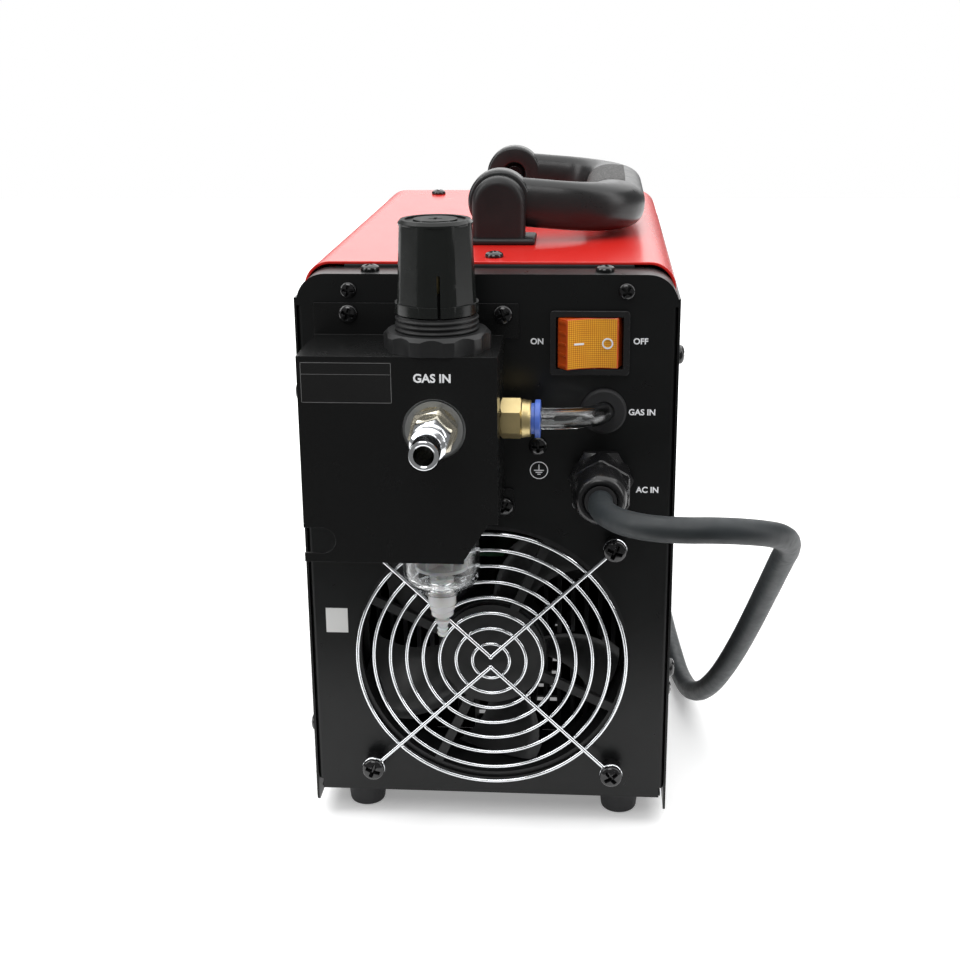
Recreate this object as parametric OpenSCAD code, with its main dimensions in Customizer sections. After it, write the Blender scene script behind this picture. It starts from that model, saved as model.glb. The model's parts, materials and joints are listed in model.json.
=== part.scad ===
// Inverter plasma cutting unit seen as separate pieces, with its rear air regulator and mains lead.
// X runs across the case, Y from the rear panel to the front panel, Z up from the floor.

/* [Case] */
// width over the side panels
body_w = 157; // [140:1:180]
// height of the rear panel
panel_h = 234; // [210:1:260]
// length from rear panel face to front bezel face
case_l = 275; // [250:1:400]
// height of the rubber feet
foot_h = 14; // [8:1:25]
// radius of the upper case corners
corner_r = 12; // [6:1:16]
// thickness of the rear and front panels
panel_t = 1.5; // [1:0.1:2.5]
// thickness of the cover, tray and bracket sheet
sheet_t = 1.2; // [0.8:0.1:2]
// thickness of the side panels
side_t = 1; // [0.8:0.1:1.5]

/* [Fan] */
// outer size of the square fan
fan_size = 120; // [80:1:140]
// spacing of the fan screws
fan_pitch = 105; // [71.5:0.5:124]
// height of the fan axis above the floor
fan_z = 81.2; // [70:0.1:120]
// number of fan blades
fan_blades = 5; // [3:1:9]

/* [Regulator] */
// regulator axis across the case
reg_x = -17.3; // [-30:0.1:0]
// distance of the regulator axis behind the rear panel
reg_out = 22.6; // [20:0.1:30]
// depth of the regulator bracket
bracket_d = 41.6; // [38:0.1:60]
// height of the air ports above the floor
port_z = 194.4; // [170:1:210]
// outer diameter of the air tube
tube_d = 8.5; // [6:0.5:12]

/* [Handle] */
// handle hinge axis across the case
handle_x = 1; // [-5:0.5:5]
// height of the hinge axis above the cover
pivot_h = 17.8; // [15:0.1:30]
// distance of the hinge axis to the outer face of the grip
reach = 65.5; // [50:0.5:80]
// thickness of each handle arm
arm_t = 12; // [8:0.5:16]
// downward slope of the folded handle
fold_a = 4.7; // [0:0.1:8]

/* [Mains lead] */
// outer diameter of the mains cord
cord_d = 10; // [8:0.5:12]
// radius of the coil at the middle of its turns
coil_r = 55; // [50:1:70]

/* [Hidden] */
$fn = 48;
eps = 0.01;

// case
half_w = body_w/2;
panel_z0 = foot_h;
panel_z1 = foot_h + panel_h;
cover_z0 = panel_z1 + 1;
cover_z1 = cover_z0 + sheet_t;
cover_y0 = 18;
cover_low = panel_z1 - 24;
bezel_z0 = 12.5;
bezel_d = 12;
bezel_y0 = case_l - bezel_d;
inner_w = body_w - 2*side_t;
bend_r = 2.4;
flange_y1 = 14;
notch_h = 4.6;
wide_z = panel_z1 - 13;
side_z0 = foot_h - 7;
side_z1 = cover_z1 - corner_r;
tray_z = foot_h + sheet_t;
front_y = case_l - 6;
foot_x = 58;
foot_ys = [17, case_l - 30];

// distances of the end pieces from the rear panel, which centre the part
plug_tip = 77;
socket_tip = 25;
mid_y = (case_l + socket_tip - plug_tip)/2;

// fan
fan_x = 1.5;
fan_t = 25;
fan_hub_r = 24;
shaft_r = 2;
run_gap = 0.05;
guard_y = -5.5;
guard_rs = [for (i = [0:7]) 8 + 7.157*i];

// regulator
reg_y = -reg_out;
nut_z0 = 223.3;
nut_h = 7.2;
collar_r = 16.4;
collar_z1 = 236.8;
knob_z0 = 237.4;
knob_z1 = 273.3;
knob_r0 = 16.2;
knob_r1 = 14.5;
knob_flats = 8;
knob_turn = 6;
spindle_r = 4;
bowl_r = 16;
bowl_z0 = 123;
bowl_z1 = 162;
drain_r = 2.1;
bracket_x0 = -70.2;
gauge_y = -22;

// fittings on the right of the rear panel
switch_x = 42.2;
switch_z = 220.5;
grommet_x = 48.3;
grommet_z = 192;
gland_x = 47.5;
gland_z = 163;
gland_tip = 32;
earth_x = 21.4;
earth_z = 176.7;
tube_bend = 21;
valve_z = 188.5;
plunger_r = 4;
tube_tilt = asin((port_z - grommet_z)/tube_bend);

// handle
pivot_z = cover_z1 + pivot_h;
pedestal_y = 64;
pedestal_t = 8;
lug_r = 14;
arm_y0 = pedestal_y + pedestal_t + 0.4;
arm_y1 = case_l - arm_y0;
grip_w = 27;
grip_h = 21.5;
pad_w = 13;
pivot_r = 3;

// front fittings
socket_x = -38;
torch_x = 38;
front_z = 62;
dial_z = 150;

// screws
m4_r = 2;
m4_hole = 2.15;
m4_head = 3.8;
m4_tall = 2.5;
side_screws_right = [[8, 214], [8, 74], [30, 54], [245, 34]];
side_screws_left = [[8, 197], [8, 43], [245, 34]];
bracket_screws_at = [[-56, 232], [7.2, 232], [7.4, 150.3]];
corner_screws_at = [[-55.8, 241.4], [56.8, 241.4]];
flange_screws_at = [[-48, 9], [48, 9]];
cover_screws_at = [[1.6, 30], [-45.5, 255], [45.5, 255]];

// mains cord: out of the gland, round the corner, down to the floor and along the side to the coil
coil_at = [20, case_l + 97];
coil_join = coil_r + cord_d/2;
cord_route = [
    [47.5, -32, 163], [47.8, -40, 163.1], [50.3, -49.1, 163.4], [55.1, -57.3, 163.8],
    [61.9, -63.9, 164.3], [70.1, -68.5, 164.9], [79.3, -70.9, 165.5], [88.7, -70.8, 165.6],
    [97.8, -68.4, 164.6], [106, -64, 162.6], [112.6, -57.9, 159.7], [117.4, -50.6, 155.8],
    [120.1, -42.9, 151.1], [120.9, -35.3, 145.5], [120.4, -28, 139.4], [119.8, -21, 133],
    [119.1, -14.2, 126.4], [118.4, -7.5, 119.8], [117.5, -0.9, 113], [116.6, 5.6, 106.1],
    [114.5, 19.1, 91.5], [112.1, 32.5, 76.8], [109.5, 46.2, 62.4], [106.8, 60.3, 48.6],
    [103.9, 75.2, 35.6], [101, 91.3, 24], [98.1, 108.7, 14.6], [95.4, 127.3, 8.1], [92.5, 152, 5.1],
    [90.2, 180, 5.1], [88.4, 208, 5.1], [87, 235, 5.1], [86.2, 262, 5.1], [85.2, 289, 5.1],
    [83.6, 316, 5.1], [81.4, 344, 5.1], [80, 370, 5.1]
];
cord_sides = 10;
plug_x = coil_at[0] - 62;
plug_y = coil_at[1] + coil_join;
plug_z = 19.2;

black = [0.08, 0.085, 0.085];
grey = [0.28, 0.29, 0.29];
red = [0.85, 0.13, 0.12];
chrome = [0.82, 0.83, 0.84];
brass = [0.78, 0.66, 0.36];
alloy = [0.72, 0.73, 0.74];
clear = [0.85, 0.88, 0.88, 0.5];
blue = [0.1, 0.35, 0.75];
amber = [0.9, 0.45, 0.12];
rubber = [0.06, 0.06, 0.065];
green = [0.06, 0.3, 0.16];
copper = [0.75, 0.42, 0.2];

// ---------- helpers ----------

// puts unit coordinates, measured from the rear panel face, into the centred frame
module unit() {
    translate([0, -mid_y, 0]) children();
}

// extrudes a shape drawn in X and Z along +Y from y0
module along_y(y0, length) {
    translate([0, y0, 0]) rotate([90, 0, 0]) mirror([0, 0, 1]) linear_extrude(length) children();
}

// cylinder along +Y
module rod_y(x, y0, z, r, length) {
    translate([x, y0, z]) rotate([-90, 0, 0]) cylinder(r = r, h = length);
}

// solid of revolution about an axis that points to -Y, profile given as radius and distance
module turned_out(x, z, profile) {
    translate([x, 0, z]) rotate([90, 0, 0]) rotate_extrude() polygon(profile);
}

// rectangle with two upper round corners, centred in X, standing on z0
module round_top(w, z0, z1, r) {
    translate([-w/2, z0]) square([w, z1 - z0 - r]);
    translate([-w/2 + r, z1 - r - eps]) square([w - 2*r, r + eps]);
    intersection() {
        for (s = [-1, 1]) translate([s*(w/2 - r), z1 - r]) circle(r);
        translate([-w/2, z1 - r - eps]) square([w, r + eps]);
    }
}

// rectangle with four round corners, centred
module round_rect(w, h, r) {
    square([w - 2*r, h], center = true);
    square([w, h - 2*r], center = true);
    for (s = [-1, 1], t = [-1, 1]) translate([s*(w/2 - r), t*(h/2 - r)]) circle(r);
}

// pan head screw along +Z, head under the origin plane up to -head_h, shank above it
module pan_screw(r, head_r, head_h, length) {
    cylinder(r = r, h = length);
    difference() {
        translate([0, 0, -head_h]) {
            cylinder(r1 = head_r*0.72, r2 = head_r, h = head_h*0.5);
            translate([0, 0, head_h*0.5]) cylinder(r = head_r, h = head_h*0.5);
        }
        for (a = [0, 90]) rotate([0, 0, a + 20])
            translate([-head_r*0.5, -head_r*0.11, -head_h - 1]) cube([head_r, head_r*0.22, 2]);
    }
}

// screws driven towards +Y at points in X and Z
module rear_screws(points, y, r, head_r, head_h, length) {
    for (p = points) translate([p[0], y, p[1]]) rotate([-90, 0, 0])
        pan_screw(r, head_r, head_h, length);
}

// screws driven down at points in X and Y
module down_screws(points, z, r, head_r, head_h, length) {
    for (p = points) translate([p[0], p[1], z]) mirror([0, 0, 1])
        pan_screw(r, head_r, head_h, length);
}

// clearance holes along Y at points in X and Z
module holes_y(points, y0, r, length) {
    for (p = points) rod_y(p[0], y0, p[1], r, length);
}

// hexagonal bar along -Y
module hex_out(x, y0, z, flats, length) {
    translate([x, y0, z]) rotate([90, 0, 0]) rotate([0, 0, 30])
        cylinder(d = flats/cos(30), h = length, $fn = 6);
}

// ---------- case ----------

function fan_corners() = [for (s = [-1, 1], t = [-1, 1]) [fan_x + s*fan_pitch/2, fan_z + t*fan_pitch/2]];

module tray() {
    side_x = inner_w/2 - 0.1 - sheet_t;
    color(black) unit() difference() {
        union() {
            translate([-side_x, panel_t + 0.1, panel_z0])
                cube([2*side_x, bezel_y0 - panel_t - 0.1, sheet_t]);
            for (s = [-1, 1]) translate([s*(side_x + sheet_t/2) - sheet_t/2, flange_y1 + 1, panel_z0])
                cube([sheet_t, bezel_y0 - flange_y1 - 1, 46]);
            translate([-side_x, bezel_y0 - sheet_t, panel_z0]) cube([2*side_x, sheet_t, 20]);
        }
        for (s = [-1, 1], y = foot_ys) translate([s*foot_x, y, panel_z0 - 1]) cylinder(r = m4_hole, h = 5);
        for (i = [0:9]) translate([-30, 60 + 16*i, panel_z0 - 1]) cube([60, 6, 5]);
        for (p = side_screws_right) translate([side_x - 1, p[0], p[1]]) rotate([0, 90, 0])
            cylinder(r = m4_hole, h = 4);
        for (p = side_screws_left) translate([-side_x - 3, p[0], p[1]]) rotate([0, 90, 0])
            cylinder(r = m4_hole, h = 4);
    }
}

// plan of the rear panel with its bent side edges
module bent_plan(x1, r) {
    translate([0, 20]) round_rect(2*x1, 40, r);
}

module rear_panel() {
    x1 = inner_w/2 - 0.1;
    bent_z0 = panel_z0 + notch_h;
    color(black) unit() difference() {
        union() {
            along_y(0, panel_t) translate([2 - x1, panel_z0]) square([2*x1 - 4, wide_z - panel_z0 + 1]);
            translate([0, 0, bent_z0]) linear_extrude(wide_z - bent_z0 + 1) intersection() {
                difference() {
                    bent_plan(x1, bend_r);
                    translate([0, panel_t]) bent_plan(x1 - sheet_t, bend_r - panel_t);
                }
                translate([-x1, 0]) square([2*x1, flange_y1]);
            }
            along_y(0, panel_t) round_top(inner_w, wide_z, panel_z1, corner_r);
            along_y(panel_t - eps, cover_y0 - panel_t - 0.5) difference() {
                round_top(inner_w, wide_z, panel_z1, corner_r);
                round_top(inner_w - 2*panel_t, wide_z - 1, panel_z1 - panel_t, corner_r - panel_t);
            }
            translate([-64, panel_t, panel_z1 - panel_t]) cube([128, cover_y0 + 2, panel_t]);
        }
        rod_y(fan_x, -1, fan_z, 59.5, 4, $fn = 96);
        holes_y(fan_corners(), -1, m4_hole, 4);
        holes_y(bracket_screws_at, -1, m4_hole, 4);
        holes_y(corner_screws_at, -1, 1.65, 4);
        holes_y([[earth_x, earth_z]], -1, m4_hole, 4);
        rod_y(grommet_x, -1, grommet_z, 7.2, 4);
        rod_y(gland_x, -1, gland_z, 10.1, 4);
        translate([switch_x - 14.5, -1, switch_z - 12.4]) cube([29, 4, 24.8]);
        for (p = flange_screws_at) translate([p[0], p[1], panel_z1 - 3]) cylinder(r = m4_hole, h = 5);
        for (s = [-1, 1], p = s > 0 ? side_screws_right : side_screws_left)
            translate([s*72, p[0], p[1]]) rotate([0, 90*s, 0]) cylinder(r = m4_hole, h = 6);
    }
}

module front_panel() {
    color(black) unit() difference() {
        along_y(front_y, panel_t)
            translate([0, panel_z0 + panel_h/2 - 0.3]) round_rect(body_w - 8, panel_h - 4, 8);
        rod_y(socket_x, front_y - 1, front_z, 13, 4);
        rod_y(torch_x, front_y - 1, front_z, 11, 4);
        rod_y(0, front_y - 1, dial_z, 3.6, 4);
    }
}

// inner outline of the top cover, which the front bezel fits under
module cover_inside(z0, gap) {
    round_top(inner_w - 0.2 - 2*sheet_t - 2*gap, z0, cover_z0 - gap, corner_r - 1 - sheet_t);
}

module front_bezel() {
    shoulder_z = cover_low - 0.2;
    low_h = 60;
    color(black) unit() difference() {
        along_y(bezel_y0, bezel_d) difference() {
            union() {
                translate([0, bezel_z0 + low_h/2]) round_rect(body_w, low_h, corner_r + 1);
                translate([-half_w, bezel_z0 + low_h/2]) square([body_w, shoulder_z - bezel_z0 - low_h/2]);
                cover_inside(shoulder_z - 1, 0.1);
            }
            translate([0, panel_z0 + panel_h/2]) round_rect(body_w - 14, panel_h - 10, 8);
        }
        along_y(front_y, bezel_d)
            translate([0, panel_z0 + panel_h/2 - 0.3]) round_rect(body_w - 8, panel_h - 4, 8);
    }
}

module top_cover() {
    w = inner_w - 0.2;
    color(red) unit() difference() {
        along_y(cover_y0, case_l - cover_y0) difference() {
            round_top(w, cover_low, cover_z1, corner_r - 1);
            cover_inside(cover_low - 6, 0);
        }
        for (p = cover_screws_at) translate([p[0], p[1], cover_z0 - 2]) cylinder(r = m4_hole, h = 5);
    }
}

// flat side sheet with louvre slots and rounded lower corners
module side_sheet(screws) {
    rotate([90, 0, 90]) linear_extrude(side_t) difference() {
        union() {
            translate([3, side_z0]) square([bezel_y0 - 6, 6]);
            translate([0, side_z0 + 3]) square([bezel_y0, side_z1 - side_z0 - 3]);
            for (y = [3, bezel_y0 - 3]) translate([y, side_z0 + 3]) circle(3);
        }
        for (i = [0:9], j = [0, 1]) translate([120 + 62*j, 84 + 9*i]) square([48, 3.5]);
        for (p = screws) translate([p[0], p[1]]) circle(m4_hole);
    }
}

module side_panel_left() {
    color(black) unit() translate([-half_w, 0, 0]) side_sheet(side_screws_left);
}

module side_panel_right() {
    color(black) unit() translate([half_w - side_t, 0, 0]) side_sheet(side_screws_right);
}

module cover_seals() {
    color(rubber) unit() {
        translate([-60, cover_y0 - 1 + eps, panel_z1]) cube([120, 4, cover_z0 - panel_z1]);
        for (s = [-1, 1]) translate([s*30 - 20, bezel_y0 - 0.8, panel_z1 - 12]) cube([40, 0.8, 10]);
    }
}

module feet() {
    profile = [[m4_hole, 5], [4.6, 5], [4.6, 0], [6.6, 0], [7.6, 0.5], [8, 1.5], [9.4, foot_h],
        [m4_hole, foot_h]];
    color(rubber) unit() for (s = [-1, 1], y = foot_ys) translate([s*foot_x, y, 0])
        rotate_extrude() polygon(profile);
}

// ---------- handle ----------

module handle_pedestals() {
    color(grey) unit() difference() {
        for (end = [0, 1]) translate([0, end*case_l, 0]) mirror([0, end, 0]) {
            translate([handle_x - 16.3, pedestal_y - 2, cover_z1]) cube([32.6, 23, 2.8]);
            along_y(pedestal_y, pedestal_t) translate([handle_x, 0]) {
                translate([-11.75, cover_z1]) square([23.5, pivot_h]);
                translate([0, pivot_z]) circle(11.75);
            }
        }
        rod_y(handle_x, pedestal_y + 2, pivot_z, pivot_r, case_l - 2*pedestal_y - 4);
    }
}

// outline of the handle seen from above, open on the hinge side
module handle_plan() {
    run = arm_y1 - arm_y0;
    difference() {
        translate([reach - 74.5, 0]) round_rect(150, run, 36);
        translate([reach - grip_w - 75, 0]) round_rect(150, run - 2*arm_t, 16);
    }
}

module handle() {
    color(black) unit() difference() {
        intersection() {
            translate([handle_x, 0, pivot_z]) rotate([0, fold_a, 0]) {
                for (y = [arm_y0, arm_y1 - arm_t]) along_y(y, arm_t) {
                    circle(lug_r);
                    translate([0, -grip_h/2]) square([reach - 10, grip_h]);
                }
                along_y(arm_y0, arm_y1 - arm_y0) translate([reach - grip_w/2, 0])
                    round_rect(grip_w, grip_h, 6);
            }
            translate([handle_x, case_l/2, pivot_z - 40]) linear_extrude(80) handle_plan();
        }
        rod_y(handle_x, arm_y0 - 1, pivot_z, pivot_r + run_gap, arm_y1 - arm_y0 + 2);
        for (y = [arm_y0 + 7, arm_y1 - arm_t - 1]) rod_y(handle_x, y, pivot_z, 5.9, 6);
        translate([handle_x, 0, pivot_z]) rotate([0, fold_a, 0])
            translate([reach - 10 - pad_w, arm_y0 + 30, grip_h/2 - 1]) cube([pad_w, arm_y1 - arm_y0 - 60, 3]);
    }
}

module grip_pad() {
    color(rubber) unit() translate([handle_x, 0, pivot_z]) rotate([0, fold_a, 0])
        translate([reach - 10 - pad_w, arm_y0 + 30, grip_h/2 - 1]) cube([pad_w, arm_y1 - arm_y0 - 60, 1.6]);
}

module pivot_screws() {
    color(chrome) unit() for (end = [0, 1]) translate([0, end*case_l, 0]) mirror([0, end, 0])
        translate([handle_x, arm_y0 + 7, pivot_z]) rotate([90, 0, 0])
            pan_screw(pivot_r, 5.2, 3, 12);
}

// ---------- regulator ----------

module regulator_bracket() {
    x0 = bracket_x0;
    x1 = 7.4;
    z0 = 139.2;
    notch_z = 153.5;
    foot_z = 156.1;
    notch_r = 5.3;
    top_z = nut_z0;
    color(black) unit() difference() {
        union() {
            along_y(-bracket_d, sheet_t) difference() {
                polygon([[x0, z0], [-6.3, z0], [-6.3, z0 + 1.4], [3.6, foot_z], [x1, foot_z], [x1, top_z],
                    [x0, top_z]]);
                translate([-62.7, notch_z - notch_r]) circle(notch_r);
                translate([x0 - 1, notch_z - 2*notch_r]) square([-62.7 - x0 + 1, 2*notch_r]);
            }
            translate([x0, -bracket_d, top_z - sheet_t]) cube([x1 - x0, bracket_d, sheet_t]);
            translate([x0, -bracket_d, notch_z]) cube([sheet_t, bracket_d, top_z - notch_z]);
            translate([x1 - sheet_t, -bracket_d, foot_z]) cube([sheet_t, bracket_d, top_z - foot_z]);
            translate([x0 - 0.2, -sheet_t, top_z - sheet_t]) cube([84, sheet_t, 14.3]);
            along_y(-sheet_t, sheet_t) translate([7, 151.8]) round_rect(8.8, 12.4, 1.5);
        }
        rod_y(reg_x, -bracket_d - 1, port_z, 12.4, 4);
        translate([reg_x, reg_y, top_z - 5]) cylinder(r = collar_r + 0.3, h = 10);
        translate([x1 - 3, reg_y, port_z]) rotate([0, 90, 0]) cylinder(r = 8.4, h = 6);
        translate([x0 - 1, gauge_y, port_z]) rotate([0, 90, 0]) cylinder(r = m4_hole, h = 4);
        holes_y(bracket_screws_at, -sheet_t - 1, m4_hole, 4);
    }
}

module regulator_body() {
    z0 = 164;
    z1 = nut_z0 - sheet_t;
    color(alloy) unit() difference() {
        union() {
            translate([reg_x, reg_y, z0]) linear_extrude(z1 - z0) round_rect(39, 34, 5);
            translate([reg_x, reg_y, 148]) cylinder(r = 17.6, h = 16.5);
            rod_y(reg_x, reg_y - 18.4, port_z, 11.4, 4);
            translate([reg_x + 15, reg_y, port_z]) rotate([0, 90, 0]) cylinder(r = 9, h = 5);
        }
        translate([reg_x, reg_y, 147]) cylinder(r = bowl_r + 0.1, h = bowl_z1 - 147);
        rod_y(reg_x, reg_y - 19, port_z, 6.6, 12);
        translate([reg_x + 10, reg_y, port_z]) rotate([0, 90, 0]) cylinder(r = 4, h = 12);
    }
}

module regulator_collar() {
    color(black) unit() translate([reg_x, reg_y, 0]) difference() {
        union() {
            translate([0, 0, nut_z0 - sheet_t])
                cylinder(r = collar_r - 0.6, h = collar_z1 - nut_z0 + sheet_t);
            for (i = [0:5]) translate([0, 0, nut_z0 + 1 + 2.05*i])
                rotate_extrude() polygon([[collar_r - 2, -0.2], [collar_r - 0.6, -0.2], [collar_r, 0.35],
                    [collar_r, 0.85], [collar_r - 0.6, 1.4], [collar_r - 2, 1.4]]);
            translate([0, 0, collar_z1 - eps]) cylinder(r = 8, h = 8);
        }
        translate([0, 0, nut_z0 + 2]) cylinder(r = spindle_r + run_gap, h = 40);
    }
}

module ring_nut() {
    edge = 1.6;
    color(black) unit() translate([reg_x, reg_y, nut_z0]) difference() {
        union() {
            cylinder(r = 21.1, h = nut_h - edge);
            translate([0, 0, nut_h - edge - eps]) cylinder(r1 = 21.1, r2 = 21.1 - edge, h = edge);
        }
        translate([0, 0, -1]) cylinder(r = collar_r + 0.1, h = nut_h + 2);
        for (i = [0:9]) rotate([0, 0, 36*i + 18]) translate([40.1, 0, -1]) cylinder(r = 20, h = nut_h + 2);
    }
}

module adjusting_screw() {
    color(brass) unit() translate([reg_x, reg_y, nut_z0 + 3]) cylinder(r = spindle_r, h = 40);
}

module regulator_knob() {
    height = knob_z1 - knob_z0;
    lean = atan((knob_r0 - knob_r1)/height);
    color(black) unit() translate([reg_x, reg_y, knob_z0]) difference() {
        union() {
            cylinder(r = knob_r0 + 0.2, h = 4.2);
            cylinder(r1 = knob_r0, r2 = knob_r1, h = height - 1.2);
            translate([0, 0, height - 1.2]) cylinder(r1 = knob_r1, r2 = knob_r1 - 1, h = 1.2);
        }
        for (i = [0:knob_flats - 1]) rotate([0, 0, 360/knob_flats*i - 90 + knob_turn])
            translate([knob_r0 - 0.8, 0, 4]) rotate([0, -lean, 0])
                translate([0, -6, 0]) cube([4, 12, height - 6]);
        translate([0, 0, -1]) cylinder(r = 12.6, h = 22);
        translate([0, 0, 10]) cylinder(r = spindle_r + run_gap, h = 23);
        rotate([0, 0, knob_turn + 3]) translate([-0.6, -knob_r0 - 1, -1]) cube([1.2, 5, 17]);
        translate([0, 0, height - 0.8]) difference() {
            cylinder(r = 11.8, h = 2);
            translate([0, 0, -1]) cylinder(r = 8.6, h = 4);
        }
        for (a = [0, 90]) rotate([0, 0, a]) translate([-2.6, -0.6, height - 0.8]) cube([5.2, 1.2, 2]);
    }
}

module bowl() {
    wall = 1.6;
    outer = [[5.2, bowl_z0 - 3], [8, bowl_z0 - 3], [8.5, bowl_z0], [11.5, bowl_z0 + 0.3],
        [14, bowl_z0 + 1.8], [15.5, bowl_z0 + 4.4], [bowl_r, bowl_z0 + 8], [bowl_r, bowl_z1]];
    inner = [[bowl_r - wall, bowl_z1], [bowl_r - wall, bowl_z0 + 8.2], [13.8, bowl_z0 + 5],
        [12.4, bowl_z0 + 2.8], [10.4, bowl_z0 + 1.8], [5.2, bowl_z0 + 1.4]];
    color(clear) unit() translate([reg_x, reg_y, 0]) rotate_extrude() polygon(concat(outer, inner));
}

module filter_element() {
    color([0.9, 0.9, 0.88]) unit() translate([reg_x, reg_y, 139]) difference() {
        cylinder(r = 8, h = bowl_z1 - 139);
        translate([0, 0, 3]) cylinder(r = 3, h = 40);
    }
}

module baffle() {
    color([0.86, 0.87, 0.86]) unit() translate([reg_x, reg_y, 131]) {
        cylinder(r = 3, h = 8);
        cylinder(r = 11, h = 1.4);
        for (a = [0:60:300]) rotate([0, 0, a]) translate([2, -0.6, 0]) cube([8, 1.2, 5]);
    }
}

module drain_body() {
    color([0.82, 0.84, 0.84]) unit() translate([reg_x, reg_y, 0]) difference() {
        union() {
            translate([0, 0, 109.5]) cylinder(r1 = 4.6, r2 = 5.8, h = 4);
            translate([0, 0, 113.5 - eps]) cylinder(r = 5.8, h = 6.5);
            translate([0, 0, 120 - eps]) cylinder(r = 5.1, h = 6);
        }
        translate([0, 0, 109]) cylinder(r = drain_r + run_gap, h = 14);
    }
}

module drain_nipple() {
    color([0.85, 0.86, 0.86]) unit() translate([reg_x, reg_y, 0]) {
        translate([0, 0, 100]) cylinder(r = drain_r, h = 18);
        for (z = [100, 103]) translate([0, 0, z]) cylinder(r1 = drain_r - 0.3, r2 = drain_r + 0.5, h = 2.2);
        translate([0, 0, 106.2]) cylinder(r = 3.2, h = 1.2);
    }
}

module inlet_bushing() {
    face = -reg_y + 18.4;
    color(brass) unit() difference() {
        union() {
            rod_y(reg_x, -face, port_z, 6.6, 11);
            hex_out(reg_x, -face, port_z, 17, 6.5);
        }
        rod_y(reg_x, -face - 8, port_z, 4.4, 22);
    }
}

module inlet_plug() {
    y0 = -reg_y + 18.4 + 6.5;
    profile = [[3.9, y0], [6.4, y0], [6.4, y0 + 9], [5.9, y0 + 9.6], [5.9, y0 + 13.4], [7, y0 + 14],
        [7, y0 + 15.6], [5, y0 + 17], [5, y0 + 19.2], [5.75, y0 + 20], [5.75, plug_tip - 0.8],
        [5.2, plug_tip], [3.9, plug_tip]];
    color(chrome) unit() {
        turned_out(reg_x, port_z, profile);
        difference() {
            hex_out(reg_x, -y0, port_z, 14, 8.5);
            rod_y(reg_x, -y0 - 10, port_z, 5, 12);
        }
    }
}

module tube_fitting() {
    x0 = reg_x + 20;
    color(brass) unit() translate([0, reg_y, port_z]) rotate([0, 90, 0]) difference() {
        union() {
            translate([0, 0, x0]) cylinder(r = 7.1, h = 5);
            translate([0, 0, x0 + 4.7]) cylinder(d = 14.5/cos(30), h = 8.6, $fn = 6);
            translate([0, 0, x0 + 13]) cylinder(r1 = 7.8, r2 = 7.3, h = 2.6);
            translate([0, 0, x0 + 15.5]) cylinder(r = 7.2, h = 1.6);
        }
        translate([0, 0, x0 + 7]) cylinder(r = 6.2, h = 12);
        translate([0, 0, x0 + 3]) cylinder(r = tube_d/2 + 0.05, h = 6);
        translate([0, 0, x0 - 1]) cylinder(r = 3.4, h = 8);
    }
}

module tube_collet() {
    x0 = reg_x + 20;
    color(blue) unit() translate([0, reg_y, port_z]) rotate([0, 90, 0]) difference() {
        union() {
            translate([0, 0, x0 + 9]) cylinder(r = 6.15, h = 10);
            translate([0, 0, x0 + 18.4]) cylinder(r = 7.6, h = 2.2);
        }
        translate([0, 0, x0 + 8]) cylinder(r = tube_d/2 + run_gap, h = 14);
    }
}

module air_tube() {
    start = reg_x + 23.2;
    straight = grommet_x - tube_bend - start;
    color(clear) unit() translate([0, reg_y, port_z]) rotate([-tube_tilt, 0, 0]) {
        translate([start, 0, 0]) rotate([0, 90, 0]) difference() {
            cylinder(d = tube_d, h = straight + eps);
            translate([0, 0, -1]) cylinder(d = tube_d - 3, h = straight + 3);
        }
        translate([start + straight, tube_bend, 0]) rotate([0, 0, -90])
            rotate_extrude(angle = 90) translate([tube_bend, 0]) difference() {
                circle(d = tube_d);
                circle(d = tube_d - 3);
            }
        translate([grommet_x, tube_bend - eps, 0]) rotate([-90, 0, 0]) difference() {
            cylinder(d = tube_d, h = 30);
            translate([0, 0, -1]) cylinder(d = tube_d - 3, h = 34);
        }
    }
}

module tube_grommet() {
    color(rubber) unit() difference() {
        translate([grommet_x, 0, grommet_z]) rotate([90, 0, 0]) {
            cylinder(r = 9.4, h = 2);
            translate([0, 0, 2 - eps]) cylinder(r1 = 9.4, r2 = 8.2, h = 0.9);
            translate([0, 0, -panel_t - 2]) cylinder(r = 7.1, h = panel_t + 2 + eps);
            translate([0, 0, -panel_t - 2]) cylinder(r = 8.8, h = 2);
        }
        translate([grommet_x, reg_y, port_z]) rotate([-tube_tilt, 0, 0]) translate([0, tube_bend - 6, 0])
            rotate([-90, 0, 0]) cylinder(r = tube_d/2 + 0.15, h = 20);
    }
}

module solenoid_valve() {
    color(alloy) unit() difference() {
        union() {
            translate([grommet_x - 12, 34, valve_z - 9.8]) cube([24, 30, 19.8]);
            rod_y(grommet_x, 20, valve_z, 8, 14.5);
            translate([grommet_x - 13, 38, valve_z + 9]) cube([26, 22, 26]);
            translate([grommet_x - 12, panel_t, valve_z - 11.3]) cube([24, 60, 1.51]);
            translate([grommet_x - 12, panel_t, valve_z - 11.3]) cube([24, 1.5, 5]);
        }
        rod_y(grommet_x, 19, valve_z, 6.2, 14);
        rod_y(grommet_x, 30, valve_z, 3, 60);
        translate([grommet_x, 49, valve_z + 4]) cylinder(r = plunger_r + run_gap, h = 24);
    }
}

module solenoid_plunger() {
    color(chrome) unit() translate([grommet_x, 49, valve_z + 4]) cylinder(r = plunger_r, h = 20);
}

// ---------- switch and gland ----------

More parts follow.
